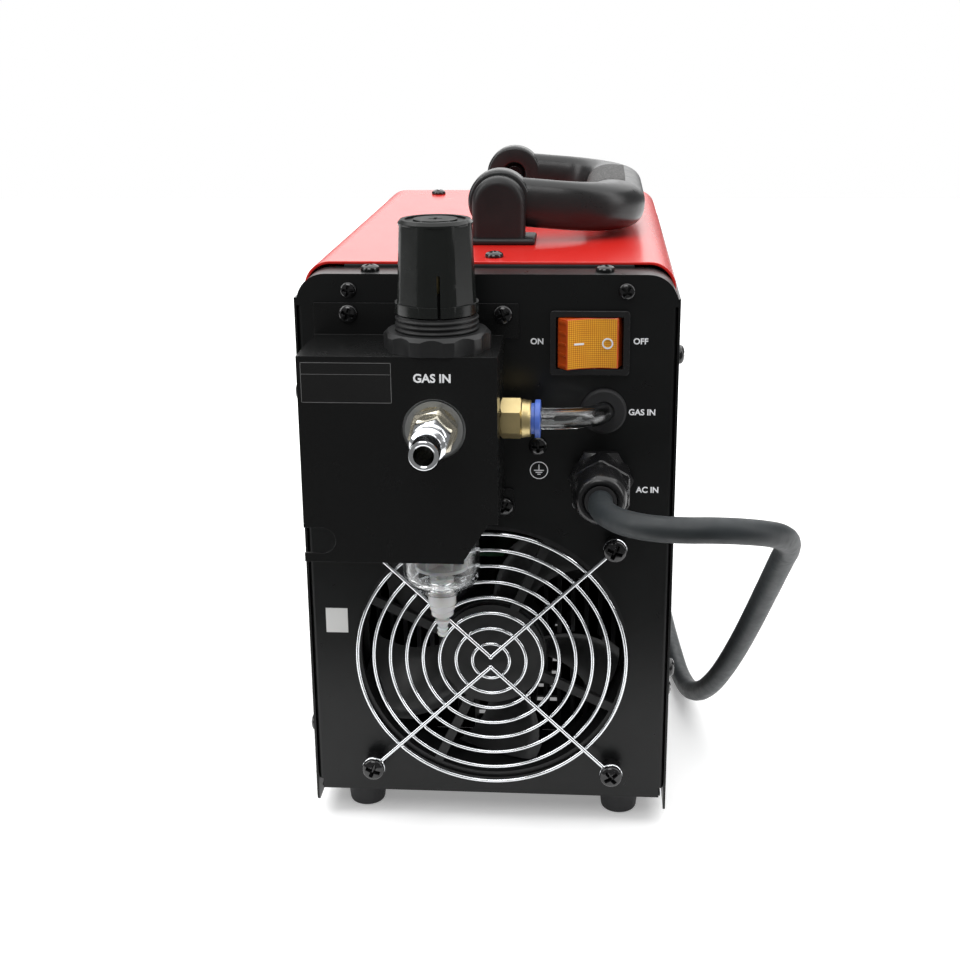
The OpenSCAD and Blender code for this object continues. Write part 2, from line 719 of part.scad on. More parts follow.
module switch_body() {
    color(black) unit() translate([switch_x, 0, switch_z]) difference() {
        union() {
            along_y(-2.4, 2.4) round_rect(32.3, 26.4, 1.5);
            translate([-14.3, -eps, -12.2]) cube([28.6, 20, 24.4]);
            for (x = [-9, 0, 9], z = [-5, 5]) translate([x - 0.4, 20 - eps, z - 3]) cube([0.8, 9, 6]);
        }
        translate([-13.55, -3, -10.7]) cube([27.1, 15, 21.4]);
        translate([0, 2, -11.7]) cylinder(r = 1.55, h = 23.4);
    }
}

module rocker() {
    face = 10.4;
    base = 13.3;
    tilt = 10;
    outline = [[-base, -1.2], [-face, -6.6], [0, -4.6], [face, -6.6], [base, -1.2], [base - 1, 2],
        [5, 6.2], [-5, 6.2], [1 - base, 2]];
    color(amber) unit() translate([switch_x, 2, switch_z]) {
        rotate([0, 0, tilt]) translate([0, 0, -10.4]) linear_extrude(20.8) polygon(outline);
        translate([0, 0, -11.5]) cylinder(r = 1.5, h = 23);
    }
}

module gland_body() {
    color(black) unit() difference() {
        union() {
            hex_out(gland_x, 0, gland_z, 24, 5);
            rod_y(gland_x, -9, gland_z, 10, 19);
            hex_out(gland_x, 7, gland_z, 24, 5.5);
        }
        rod_y(gland_x, -10, gland_z, 6.8, 22);
    }
}

module gland_nut() {
    dome = [[10, 18], [11.6, 18], [11.6, 20], [11.3, 24], [10.9, 27.5], [10.2, 30], [9, 31.5],
        [7.6, gland_tip], [6.5, gland_tip], [6.5, 24], [10, 19]];
    color(black) unit() {
        difference() {
            hex_out(gland_x, -5.1, gland_z, 23.5, 13.9);
            rod_y(gland_x, -20, gland_z, 10.05, 16);
        }
        turned_out(gland_x, gland_z, dome);
    }
}

module gland_seal() {
    color(rubber) unit() {
        rod_y(gland_x, -gland_tip, gland_z, 6.45, gland_tip - 10);
        rod_y(gland_x, -10.01, gland_z, cord_d/2, 30);
    }
}

// ---------- fan ----------

module fan_frame() {
    y0 = panel_t;
    color(black) unit() difference() {
        union() {
            along_y(y0, fan_t) difference() {
                translate([fan_x, fan_z]) round_rect(fan_size, fan_size, 6);
                translate([fan_x, fan_z]) circle(57.5, $fn = 96);
            }
            rod_y(fan_x, y0, fan_z, fan_hub_r - 1, 3);
            rod_y(fan_x, y0 + 2.9, fan_z, shaft_r, 15);
            for (a = [25:90:295]) translate([fan_x, y0, fan_z]) rotate([0, a, 0])
                translate([fan_hub_r - 3, 0, -2]) cube([37, 3, 4]);
        }
        for (s = [-1, 1]) translate([fan_x + s*(fan_size/2 + 13), y0 + 3.5, fan_z]) rotate([-90, 0, 0])
            cylinder(r = 20, h = fan_t - 7);
        holes_y(fan_corners(), 0, m4_hole, fan_t + 4);
    }
}

module fan_impeller() {
    y0 = panel_t + 3.5;
    color(black) unit() translate([fan_x, y0, fan_z]) difference() {
        union() {
            rod_y(0, 0, 0, fan_hub_r, 19);
            intersection() {
                difference() {
                    rod_y(0, 0.5, 0, 55.5, 17.5, $fn = 96);
                    rod_y(0, -1, 0, fan_hub_r - 2, 30);
                }
                for (i = [0:fan_blades - 1]) rotate([0, i*360/fan_blades, 0]) translate([0, 9.2, 0])
                    translate([38, 0, 0]) rotate([-28, 0, 0])
                    translate([-20, -1, -17]) cube([40, 2, 34]);
            }
        }
        rod_y(0, -1, 0, shaft_r + run_gap, 16);
        rod_y(0, -1, 0, 5, 1.8);
    }
}

// round wire ring in the panel plane
module wire_ring(major, wire) {
    rotate([90, 0, 0]) rotate_extrude($fn = 72) translate([major, 0]) circle(wire, $fn = 16);
}

// straight wire between two points in X and Z
module wire(a, b, r) {
    run = b - a;
    translate([a[0], 0, a[1]]) rotate([0, 90 - atan2(run[1], run[0]), 0])
        cylinder(r = r, h = norm(run), $fn = 16);
}

module fan_guard() {
    h = fan_pitch/2;
    spoke_r = 0.85;
    color(chrome) unit() translate([fan_x, guard_y, fan_z]) {
        for (r = guard_rs) wire_ring(r, 0.8);
        translate([0, -1.4, 0]) for (s = [-1, 1]) {
            wire([-h + 3, s*(h - 3)], [0, s*2.3], spoke_r);
            wire([h - 3, s*(h - 3)], [0, s*2.3], spoke_r);
            translate([0, 0, s*2.3]) sphere(r = 1.15, $fn = 24);
            for (t = [-1, 1]) translate([t*h, 0, s*h]) wire_ring(4.1, 1.05);
        }
    }
}

module guard_spacers() {
    color(black) unit() for (p = fan_corners()) difference() {
        rod_y(p[0], guard_y - 0.3, p[1], 4.4, -guard_y + 0.3);
        rod_y(p[0], guard_y - 1, p[1], m4_hole, -guard_y + 3);
    }
}

module fan_screws() {
    head_y = guard_y - 2.5;
    color(black) unit() {
        rear_screws(fan_corners(), head_y, m4_r, 4.9, 3, -head_y + panel_t + fan_t + 4);
        for (p = fan_corners()) translate([p[0], panel_t + fan_t, p[1]]) rotate([-90, 0, 0]) difference() {
            cylinder(d = 7/cos(30), h = 3.2, $fn = 6);
            translate([0, 0, -1]) cylinder(r = m4_r - eps, h = 6);
        }
    }
}

// ---------- case screws ----------

module bracket_screws() {
    color(black) unit() {
        rear_screws(bracket_screws_at, -sheet_t, m4_r, m4_head, m4_tall, 7);
        rear_screws([[earth_x, earth_z]], 0, m4_r, m4_head, m4_tall, 7);
        translate([bracket_x0, gauge_y, port_z]) rotate([0, 90, 0]) {
            cylinder(r = m4_r, h = 5);
            translate([0, 0, -1.3]) cylinder(r1 = 4, r2 = 4.8, h = 1.3);
        }
    }
}

module corner_screws() {
    color(black) unit() rear_screws(corner_screws_at, 0, 1.5, 3.4, 2, 6);
}

module case_screws() {
    color(black) unit() {
        down_screws(flange_screws_at, panel_z1, m4_r, m4_head, m4_tall, 6);
        down_screws(cover_screws_at, cover_z1, m4_r, m4_head, m4_tall, 6);
        for (p = side_screws_right) translate([half_w, p[0], p[1]]) rotate([0, -90, 0])
            pan_screw(m4_r, m4_head, m4_tall, 6);
        for (p = side_screws_left) translate([-half_w, p[0], p[1]]) rotate([0, 90, 0])
            pan_screw(m4_r, m4_head, m4_tall, 6);
    }
}

// ---------- power electronics ----------

module heatsinks() {
    color(alloy) unit() for (s = [-1, 1]) translate([s*36 - 26, 45, tray_z]) {
        translate([0, 0, 85]) cube([52, 170, 6]);
        for (i = [0:8]) translate([6.25*i, 0, 8]) cube([2, 170, 77 + eps]);
        for (y = [15, 145]) translate([0, y, 0]) cube([52, 10, 8 + eps]);
    }
}

module power_devices() {
    color([0.1, 0.1, 0.1]) unit() for (s = [-1, 1], i = [0:3])
        translate([s*36 - 8, 60 + 38*i, tray_z + 91]) cube([16, 21, 6]);
}

module main_board() {
    z = tray_z + 97;
    color(green) unit() {
        translate([-68, 40, z]) cube([136, 198, 1.6]);
        for (s = [-1, 1], y = [50, 228]) translate([s*65, y, tray_z]) cylinder(r = 2.9, h = z - tray_z + eps);
    }
}

module capacitors() {
    z = tray_z + 98.6;
    color([0.12, 0.14, 0.2]) unit() for (x = [-46, -12], y = [70, 106]) translate([x, y, z]) {
        cylinder(r = 15, h = 50);
        translate([0, 0, 50 - eps]) cylinder(r = 13.5, h = 1);
    }
}

module transformer_core() {
    z = tray_z + 98.6;
    color([0.16, 0.16, 0.17]) unit() translate([-30, 150, z]) difference() {
        cube([66, 28, 62]);
        for (x = [12, 42]) translate([x, -1, 12]) cube([12, 30, 38]);
    }
}

module transformer_winding() {
    z = tray_z + 98.6;
    color(copper) unit() translate([-30, 150, z]) difference() {
        translate([12.4, -10, 12.4]) cube([41.2, 48, 37.2]);
        translate([24, 0, 0]) cube([18, 28, 62]);
    }
}

// ---------- front fittings ----------

module work_socket() {
    color(black) unit() difference() {
        union() {
            rod_y(socket_x, front_y - 24, front_z, 12.9, 24 + eps);
            rod_y(socket_x, front_y + panel_t, front_z, 19, 3);
            rod_y(socket_x, front_y - 1, front_z, 12.9, 14 + panel_t);
            rod_y(socket_x, front_y - 5, front_z, 18, 5);
        }
        rod_y(socket_x, front_y - 12, front_z, 6.5, 40);
        translate([socket_x - 2, front_y - 4, front_z]) cube([4, 40, 9]);
    }
}

module torch_connector() {
    color(brass) unit() difference() {
        union() {
            rod_y(torch_x, front_y - 20, front_z, 10.8, 22);
            translate([torch_x, front_y + panel_t + 6, front_z]) rotate([90, 0, 0])
                cylinder(d = 30, h = 6, $fn = 6);
            rod_y(torch_x, front_y + panel_t, front_z, 8, case_l + socket_tip - front_y - panel_t);
            rod_y(torch_x, front_y - 6, front_z, 14, 6);
        }
        rod_y(torch_x, front_y - 21, front_z, 4, 60);
    }
}

module current_dial() {
    color(black) unit() difference() {
        union() {
            rod_y(0, front_y + panel_t + 0.5, dial_z, 14, 3);
            rod_y(0, front_y + panel_t + 3.4, dial_z, 11, 12);
        }
        rod_y(0, front_y, dial_z, 3, 12);
        translate([-0.6, front_y + panel_t + 14.6, dial_z + 2]) cube([1.2, 3, 12]);
    }
}

module dial_shaft() {
    color(chrome) unit() rod_y(0, front_y - 10, dial_z, 3, 22);
}

module potentiometer() {
    color(grey) unit() difference() {
        rod_y(0, front_y - 12, dial_z, 9, 12);
        rod_y(0, front_y - 11, dial_z, 3 + run_gap, 12);
    }
}

// ---------- mains cord ----------

function direction(v) = v/norm(v);
function heading(i) = direction(cord_route[min(i + 1, len(cord_route) - 1)] - cord_route[max(i - 1, 0)]);
function cord_ring(i) = let (t = heading(i), s = direction(cross(t, [0, 0, 1])), u = cross(s, t))
    [for (k = [0:cord_sides - 1]) cord_route[i]
        + cord_d/2*(cos(360*k/cord_sides)*s + sin(360*k/cord_sides)*u)];

module cord_tube() {
    rings = len(cord_route);
    last = (rings - 1)*cord_sides;
    points = [for (i = [0:rings - 1]) each cord_ring(i)];
    sides = [for (i = [0:rings - 2], k = [0:cord_sides - 1]) let (n = (k + 1)%cord_sides, b = i*cord_sides)
        [b + k, b + cord_sides + k, b + cord_sides + n, b + n]];
    start_cap = [[for (k = [0:cord_sides - 1]) k]];
    end_cap = [[for (k = [cord_sides - 1:-1:0]) last + k]];
    color(rubber) unit() polyhedron(points, concat(sides, start_cap, end_cap));
}

module cord_coil() {
    color(rubber) unit() translate([coil_at[0], coil_at[1], 0]) rotate_extrude($fn = 72)
        translate([coil_r - cord_d, 0]) square([2*cord_d, 2*cord_d]);
}

module plug_body() {
    color(rubber) unit() translate([plug_x, plug_y, plug_z]) rotate([0, -90, 0]) {
        cylinder(r1 = 15, r2 = 18.8, h = 14);
        translate([0, 0, 13.9]) cylinder(r = 18.8, h = 28);
        translate([0, 0, -28]) cylinder(r1 = 6.4, r2 = 10, h = 28.01);
    }
}

module plug_pins() {
    color(chrome) unit() translate([plug_x - 41.9, plug_y, plug_z]) rotate([0, -90, 0])
        for (s = [-1, 1]) translate([0, s*9.5, 0]) cylinder(r = 2.4, h = 19);
}

tray();
rear_panel();
front_panel();
front_bezel();
top_cover();
side_panel_left();
side_panel_right();
cover_seals();
feet();
handle_pedestals();
handle();
grip_pad();
pivot_screws();
regulator_bracket();
regulator_body();
regulator_collar();
ring_nut();
adjusting_screw();
regulator_knob();
bowl();
filter_element();
baffle();
drain_body();
drain_nipple();
inlet_bushing();
inlet_plug();
tube_fitting();
tube_collet();
air_tube();
tube_grommet();
solenoid_valve();
solenoid_plunger();
switch_body();
rocker();
gland_body();
gland_nut();
gland_seal();
fan_frame();
fan_impeller();
fan_guard();
guard_spacers();
fan_screws();
bracket_screws();
corner_screws();
case_screws();
heatsinks();
power_devices();
main_board();
capacitors();
transformer_core();
transformer_winding();
work_socket();
torch_connector();
current_dial();
dial_shaft();
potentiometer();
cord_tube();
cord_coil();
plug_body();
plug_pins();
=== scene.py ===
import json
import math

import bmesh
import bpy
from mathutils import Matrix, Vector


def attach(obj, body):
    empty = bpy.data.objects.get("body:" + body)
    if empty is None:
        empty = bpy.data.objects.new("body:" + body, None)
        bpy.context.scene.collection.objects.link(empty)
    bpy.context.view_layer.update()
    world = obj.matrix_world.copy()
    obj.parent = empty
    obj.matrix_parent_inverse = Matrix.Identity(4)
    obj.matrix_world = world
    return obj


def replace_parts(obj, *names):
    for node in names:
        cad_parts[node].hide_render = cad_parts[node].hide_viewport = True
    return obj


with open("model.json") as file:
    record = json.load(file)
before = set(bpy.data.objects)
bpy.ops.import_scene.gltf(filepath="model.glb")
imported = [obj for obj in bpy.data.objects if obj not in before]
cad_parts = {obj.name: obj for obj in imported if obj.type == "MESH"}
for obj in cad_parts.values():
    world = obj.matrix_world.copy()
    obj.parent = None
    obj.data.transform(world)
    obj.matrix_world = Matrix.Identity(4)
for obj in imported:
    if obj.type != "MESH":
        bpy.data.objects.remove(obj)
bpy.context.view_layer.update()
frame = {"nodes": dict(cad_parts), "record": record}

MM = 0.001
MID_Y = 111.5  # middle of the unit's length, from the rear panel face, in millimetres
rad = math.radians
UNIT = Matrix.Translation((0, -MID_Y * MM, 0))  # unit coordinates to the frame


def at(x, y, z):
    """Unit coordinates in millimetres, from the rear panel face, as a point of the frame."""
    return Vector((x * MM, (y - MID_Y) * MM, z * MM))


# ---------- camera ----------

CAMERA_AT = (0.0448, -0.6995, 0.3483)
CAMERA_TURN = (0.307, 0.081, -0.010)  # pitch, yaw and roll, in radians
FOCAL_PIXELS = 1474.9
IMAGE_PIXELS = 960
SENSOR = 36.0


def make_camera():
    pitch, yaw, roll = CAMERA_TURN
    forward = Vector((-math.sin(yaw) * math.cos(pitch), math.cos(yaw) * math.cos(pitch), -math.sin(pitch)))
    right = Vector((math.cos(yaw), math.sin(yaw), 0))
    up = right.cross(forward)
    side = math.cos(roll) * right + math.sin(roll) * up
    top = math.cos(roll) * up - math.sin(roll) * right
    data = bpy.data.cameras.new("camera")
    data.sensor_width = SENSOR
    data.lens = SENSOR * FOCAL_PIXELS / IMAGE_PIXELS
    data.clip_start = 0.01
    data.clip_end = 50
    camera = bpy.data.objects.new("camera", data)
    camera.matrix_world = Matrix((
        (side.x, top.x, -forward.x, CAMERA_AT[0]),
        (side.y, top.y, -forward.y, CAMERA_AT[1]),
        (side.z, top.z, -forward.z, CAMERA_AT[2]),
        (0, 0, 0, 1)))
    bpy.context.scene.collection.objects.link(camera)
    bpy.context.scene.camera = camera


make_camera()


# ---------- materials ----------

def material(name, base, rough, metal=0.0, spec=0.5, coat=0.0, grain=1100, bump=0.12, depth=0.00002,
             spread=0.06, tint=0.12, blotch=30, clear=0.0, ior=1.5, sss=0.0):
    """Principled material whose colour, roughness and surface vary at their own scales.

    tint and spread are the changes of colour and roughness over patches of scale blotch; bump and depth are
    the strength and height of the relief of scale grain.
    """
    m = bpy.data.materials.new(name)
    m.use_nodes = True
    nodes, links = m.node_tree.nodes, m.node_tree.links
    shader = nodes["Principled BSDF"]
    coord = nodes.new("ShaderNodeTexCoord")

    def noise(scale, detail, rough_=0.55, warp=0.0):
        n = nodes.new("ShaderNodeTexNoise")
        n.inputs["Scale"].default_value = scale
        n.inputs["Detail"].default_value = detail
        n.inputs["Roughness"].default_value = rough_
        n.inputs["Distortion"].default_value = warp
        links.new(coord.outputs["Object"], n.inputs["Vector"])
        return n.outputs["Fac"]

    mix = nodes.new("ShaderNodeMix")
    mix.data_type = "RGBA"
    mix.inputs[6].default_value = [c * (1 - tint) for c in base] + [1]
    mix.inputs[7].default_value = [min(c * (1 + tint), 1) for c in base] + [1]
    spots = nodes.new("ShaderNodeMapRange")
    spots.inputs["From Min"].default_value = 0.35
    spots.inputs["From Max"].default_value = 0.68
    links.new(noise(blotch, 5), spots.inputs["Value"])
    links.new(spots.outputs[0], mix.inputs[0])
    links.new(mix.outputs[2], shader.inputs["Base Color"])
    wear = nodes.new("ShaderNodeMapRange")
    wear.inputs["From Min"].default_value = 0.3
    wear.inputs["From Max"].default_value = 0.7
    wear.inputs["To Min"].default_value = max(rough - spread, 0.02)
    wear.inputs["To Max"].default_value = min(rough + spread, 1.0)
    links.new(noise(blotch * 4, 6, 0.62, 0.8), wear.inputs["Value"])
    links.new(wear.outputs[0], shader.inputs["Roughness"])
    if bump:
        b = nodes.new("ShaderNodeBump")
        b.inputs["Strength"].default_value = bump
        b.inputs["Distance"].default_value = depth
        links.new(noise(grain, 3, 0.5), b.inputs["Height"])
        links.new(b.outputs["Normal"], shader.inputs["Normal"])
    shader.inputs["Metallic"].default_value = metal
    shader.inputs["Specular IOR Level"].default_value = spec
    shader.inputs["Coat Weight"].default_value = coat
    shader.inputs["Coat Roughness"].default_value = 0.12
    shader.inputs["Transmission Weight"].default_value = clear
    shader.inputs["IOR"].default_value = ior
    if sss:
        shader.inputs["Subsurface Weight"].default_value = sss
        shader.inputs["Subsurface Radius"].default_value = (0.003, 0.0015, 0.0008)
        shader.inputs["Subsurface Scale"].default_value = 1.0
    m.diffuse_color = (*base, 1)
    return m


PAINT = material("black_powder", (0.0062, 0.0066, 0.0067), 0.30, spec=0.26, grain=1500, bump=0.08,
                 depth=0.00003, spread=0.03)
BRACKET = material("black_sheet", (0.0062, 0.0064, 0.0064), 0.26, spec=0.26, grain=1300, bump=0.05,
                   depth=0.00002, spread=0.02, tint=0.05, blotch=18)
RED = material("red_enamel", (0.62, 0.018, 0.013), 0.24, spec=0.5, grain=1300, bump=0.05, depth=0.00003,
               spread=0.012, tint=0.03, blotch=12)
PLASTIC = material("black_plastic", (0.0135, 0.0138, 0.0142), 0.40, spec=0.32, grain=2200, bump=0.28,
                   depth=0.00004)
HANDLE = material("handle_plastic", (0.0145, 0.0155, 0.0158), 0.32, spec=0.45, grain=2400, bump=0.30,
                  depth=0.00004)
KNOB = material("knob_plastic", (0.0095, 0.0108, 0.0100), 0.24, spec=0.30, grain=2400, bump=0.12,
                depth=0.00003, spread=0.04)
GLOSS = material("gloss_plastic", (0.0085, 0.0085, 0.009), 0.24, grain=1800, bump=0.08, spread=0.05)
RUBBER = material("rubber", (0.018, 0.018, 0.019), 0.62, spec=0.35, grain=1900, bump=0.35, depth=0.00005)
PAD = material("grip_rubber", (0.060, 0.059, 0.058), 0.66, spec=0.4, grain=1150, bump=1.0, depth=0.0007,
               tint=0.75, blotch=950)
CORD = material("cord_sheath", (0.0205, 0.0250, 0.0275), 0.50, spec=0.42, grain=1400, bump=0.25,
                depth=0.00005, spread=0.09, blotch=45)
KNOB_TOP = material("matt_knob_top", (0.013, 0.014, 0.0135), 0.52, spec=0.12, grain=2400, bump=0.2,
                    depth=0.00003)
SCREW = material("black_zinc", (0.007, 0.007, 0.0075), 0.16, spec=0.6, grain=2600, bump=0.10, spread=0.05)
CHROME = material("bright_chrome", (0.74, 0.76, 0.78), 0.13, metal=1.0, grain=1600, bump=0.05, spread=0.04,
                  tint=0.04, blotch=80)
NICKEL = material("nickel", (0.56, 0.52, 0.42), 0.26, metal=1.0, grain=1500, bump=0.08, spread=0.07,
                  tint=0.07, blotch=90)
BRASS = material("brass", (0.62, 0.50, 0.25), 0.38, metal=1.0, grain=1500, bump=0.06, spread=0.05, tint=0.07,
                 blotch=120)
DARK_ALLOY = material("black_anodised", (0.012, 0.012, 0.013), 0.5, grain=900, bump=0.3, depth=0.00005)
ALLOY = material("cast_alloy", (0.40, 0.41, 0.41), 0.46, metal=1.0, grain=900, bump=0.35, depth=0.00005,
                 spread=0.08, tint=0.08, blotch=60)
STEEL = material("ground_steel", (0.56, 0.57, 0.58), 0.30, metal=1.0, grain=1800, bump=0.12, tint=0.06)
BOWL = material("clear_bowl", (0.95, 0.96, 0.96), 0.05, clear=1.0, ior=1.45, grain=300, bump=0.06,
                depth=0.0001, spread=0.02, tint=0.01)
TUBE = material("clear_tube", (0.93, 0.94, 0.94), 0.09, clear=1.0, ior=1.42, grain=260, bump=0.10,
                depth=0.0002, spread=0.03, tint=0.02)
MILKY = material("milky_plastic", (0.93, 0.95, 0.95), 0.14, clear=0.5, ior=1.42, sss=0.2, grain=900,
                 bump=0.10)
FILTER = material("sintered_filter", (0.42, 0.43, 0.43), 0.75, grain=1400, bump=0.6, depth=0.0001, tint=0.2)
BLUE = material("blue_plastic", (0.090, 0.18, 0.64), 0.34, grain=1500, bump=0.08, sss=0.05)
BOARD = material("solder_mask", (0.012, 0.11, 0.035), 0.35, grain=700, bump=0.3, depth=0.0001, tint=0.3,
                 blotch=160)
EPOXY = material("epoxy", (0.02, 0.02, 0.022), 0.50, grain=1800, bump=0.2)
SLEEVE = material("capacitor_sleeve", (0.03, 0.035, 0.06), 0.30, grain=1200, bump=0.1)
FERRITE = material("ferrite", (0.035, 0.035, 0.038), 0.62, grain=1200, bump=0.5, depth=0.00006)
COPPER = material("copper_wire", (0.72, 0.30, 0.12), 0.28, metal=1.0, grain=1100, bump=0.5, depth=0.0001)
INK = material("white_ink", (0.93, 0.94, 0.96), 0.55, grain=1800, bump=0.1, tint=0.03, blotch=300)
RULE = material("grey_ink", (0.16, 0.16, 0.16), 0.5, grain=1800, bump=0.1)
PAPER = material("label_paper", (0.62, 0.62, 0.61), 0.5, grain=900, bump=0.05, tint=0.03)
LABEL = material("label_film", (0.006, 0.006, 0.006), 0.20, grain=700, bump=0.04, spread=0.04)
DISPLAY = material("display_window", (0.006, 0.003, 0.003), 0.12, grain=300, bump=0.02, spread=0.03)
GREEN_LED = material("green_lens", (0.02, 0.36, 0.06), 0.22, sss=0.2, grain=900, bump=0.05)
AMBER_LED = material("amber_lens", (0.70, 0.28, 0.02), 0.22, sss=0.2, grain=900, bump=0.05)


def amber_material():
    """Translucent amber with the regular prism dots moulded under its face."""
    dots_per_metre, dot_rim = 1190, (0.55, 0.15, 0.008, 1)
    m = material("amber_rocker", (1.0, 0.47, 0.025), 0.20, spec=0.6, coat=0.3, grain=900, bump=0.05,
                 spread=0.04, tint=0.08, blotch=110, sss=0.35)
    nodes, links = m.node_tree.nodes, m.node_tree.links
    shader = nodes["Principled BSDF"]
    coord = nodes.new("ShaderNodeTexCoord")
    split = nodes.new("ShaderNodeSeparateXYZ")
    flat = nodes.new("ShaderNodeCombineXYZ")
    links.new(coord.outputs["Object"], split.inputs[0])
    links.new(split.outputs["X"], flat.inputs["X"])
    links.new(split.outputs["Z"], flat.inputs["Y"])
    dots = nodes.new("ShaderNodeTexVoronoi")
    dots.voronoi_dimensions = "2D"
    dots.inputs["Scale"].default_value = dots_per_metre
    dots.inputs["Randomness"].default_value = 0.0
    links.new(flat.outputs[0], dots.inputs["Vector"])
    ramp = nodes.new("ShaderNodeMapRange")
    ramp.inputs["From Min"].default_value = 0.25
    ramp.inputs["From Max"].default_value = 0.60
    links.new(dots.outputs["Distance"], ramp.inputs["Value"])
    old = shader.inputs["Base Color"].links[0].from_socket
    mix = nodes.new("ShaderNodeMix")
    mix.data_type = "RGBA"
    mix.inputs[7].default_value = dot_rim
    links.new(ramp.outputs[0], mix.inputs[0])
    links.new(old, mix.inputs[6])
    links.new(mix.outputs[2], shader.inputs["Base Color"])
    return m


AMBER = amber_material()
SHELL = material("amber_shell", (0.62, 0.085, 0.012), 0.22, spec=0.6, coat=0.3, grain=900, bump=0.05, sss=0.3)


# ---------- mesh helpers ----------

def finish_mesh(name, bm, mat, body, angle=38, weighted=True):
    me = bpy.data.meshes.new(name)
    bmesh.ops.recalc_face_normals(bm, faces=bm.faces)
    bm.to_mesh(me)
    bm.free()
    me.materials.append(mat)
    for p in me.polygons:
        p.use_smooth = True
    me.set_sharp_from_angle(angle=rad(angle))
    o = bpy.data.objects.new(name, me)
    bpy.context.scene.collection.objects.link(o)
    if weighted:
        w = o.modifiers.new("normals", "WEIGHTED_NORMAL")
        w.keep_sharp = True
        w.weight = 60
    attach(o, body)
    return o


NODE_BODY = {n: b for b, names in frame["record"]["behaviour"]["bodies"].items() for n in names}


def refine(node, mat, width):
    """The CAD node with its edges broken by a small radius, as the moulded or folded part has."""
    weld, flat, crease = 2e-6, rad(0.4), rad(30)
    source = frame["nodes"][node]
    bm = bmesh.new()
    bm.from_mesh(source.data)
    bm.transform(source.matrix_world)
    bmesh.ops.remove_doubles(bm, verts=bm.verts, dist=weld)
    bmesh.ops.dissolve_limit(bm, angle_limit=flat, verts=bm.verts, edges=bm.edges)
    if width:
        edges = [e for e in bm.edges if len(e.link_faces) == 2 and e.calc_face_angle(0) > crease]
        bmesh.ops.bevel(bm, geom=edges, offset=width * MM, segments=2, profile=0.5, affect="EDGES",
                        clamp_overlap=True, loop_slide=True)
    o = finish_mesh("fine_" + node, bm, mat, NODE_BODY[node])
    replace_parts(o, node)
    return o


def add_lathe(bm, profile, matrix, segments=64, closed=True):
    """Adds a turned shape: profile of (radius, height) points in millimetres, round local Z."""
    rings = []
    for r, h in profile:
        if r < 1e-6:
            rings.append([bm.verts.new(matrix @ Vector((0, 0, h * MM)))])
        else:
            rings.append([bm.verts.new(matrix @ Vector((r * MM * math.cos(a), r * MM * math.sin(a), h * MM)))
                          for a in (2 * math.pi * i / segments for i in range(segments))])
    pairs = list(zip(rings, rings[1:] + ([rings[0]] if closed else [])))
    for p, q in pairs:
        if p is q or (len(p) == 1 and len(q) == 1):
            continue
        for i in range(segments):
            j = (i + 1) % segments
            if len(p) == 1:
                bm.faces.new((p[0], q[i], q[j]))
            elif len(q) == 1:
                bm.faces.new((p[i], p[j], q[0]))
            else:
                bm.faces.new((p[i], p[j], q[j], q[i]))


def add_block(bm, lo, hi, matrix=None, bevel=0.0, segments=2):
    """Adds a box between two corners in millimetres, its edges rounded."""
    made = bmesh.ops.create_cube(bm, size=1.0)["verts"]
    size = [(b - a) * MM for a, b in zip(lo, hi)]
    mid = [(a + b) / 2 * MM for a, b in zip(lo, hi)]
    local = Matrix.Translation(mid) @ Matrix.Diagonal((*size, 1))
    bmesh.ops.transform(bm, matrix=(matrix or Matrix.Identity(4)) @ local, verts=made)
    if bevel:
        edges = {e for v in made for e in v.link_edges}
        bmesh.ops.bevel(bm, geom=list(edges), offset=bevel * MM, segments=segments, profile=0.5,
                        affect="EDGES", clamp_overlap=True)


def add_strip(bm, rings, loop=False):
    """Skins closed rings of points into a tube with flat ends, or into a ring if it loops."""
    rows = [[bm.verts.new(p) for p in ring] for ring in rings]
    n = len(rows[0])
    for a, b in zip(rows, rows[1:] + ([rows[0]] if loop else [])):
        for i in range(n):
            j = (i + 1) % n
            bm.faces.new((a[i], a[j], b[j], b[i]))
    if not loop:
        bm.faces.new(rows[0])
        bm.faces.new(rows[-1])


def axis_matrix(origin, z_axis, x_hint=(1, 0, 0)):
    """A place whose local Z runs along z_axis and whose local X is as near the hint as it can be."""
    z = Vector(z_axis).normalized()
    x = Vector(x_hint)
    x = (x - z * x.dot(z)).normalized()
    y = z.cross(x)
    return Matrix(((x.x, y.x, z.x, origin[0]), (x.y, y.y, z.y, origin[1]), (x.z, y.z, z.z, origin[2]),
                   (0, 0, 0, 1)))


def hexagon(flats, angle):
    """Radius of a hexagon with this width over its flats, at an angle."""
    return flats / 2 / math.cos((angle % (math.pi / 3)) - math.pi / 6)


def add_hex(bm, origin, z_axis, flats, height, bore, x_hint=(1, 0, 0)):
    """Adds a hexagon bar with the turned chamfer of a real nut at both ends, and a bore."""
    n, chamfer = 72, 0.96
    m = axis_matrix(origin, z_axis, x_hint)
    ring = [2 * math.pi * i / n for i in range(n)]
    edge = [hexagon(flats, a) for a in ring]
    inner = flats / 2 * chamfer
    drop = [(r - inner) * math.tan(rad(30)) for r in edge]

    def row(radii, heights):
        return [m @ Vector((r * MM * math.cos(a), r * MM * math.sin(a), h * MM))
                for r, h, a in zip(radii, heights, ring)]

    rows = [row([bore] * n, [0] * n), row([inner] * n, [0] * n), row(edge, drop),
            row(edge, [height - d for d in drop]), row([inner] * n, [height] * n),
            row([bore] * n, [height] * n)]
    add_strip(bm, rows, loop=True)


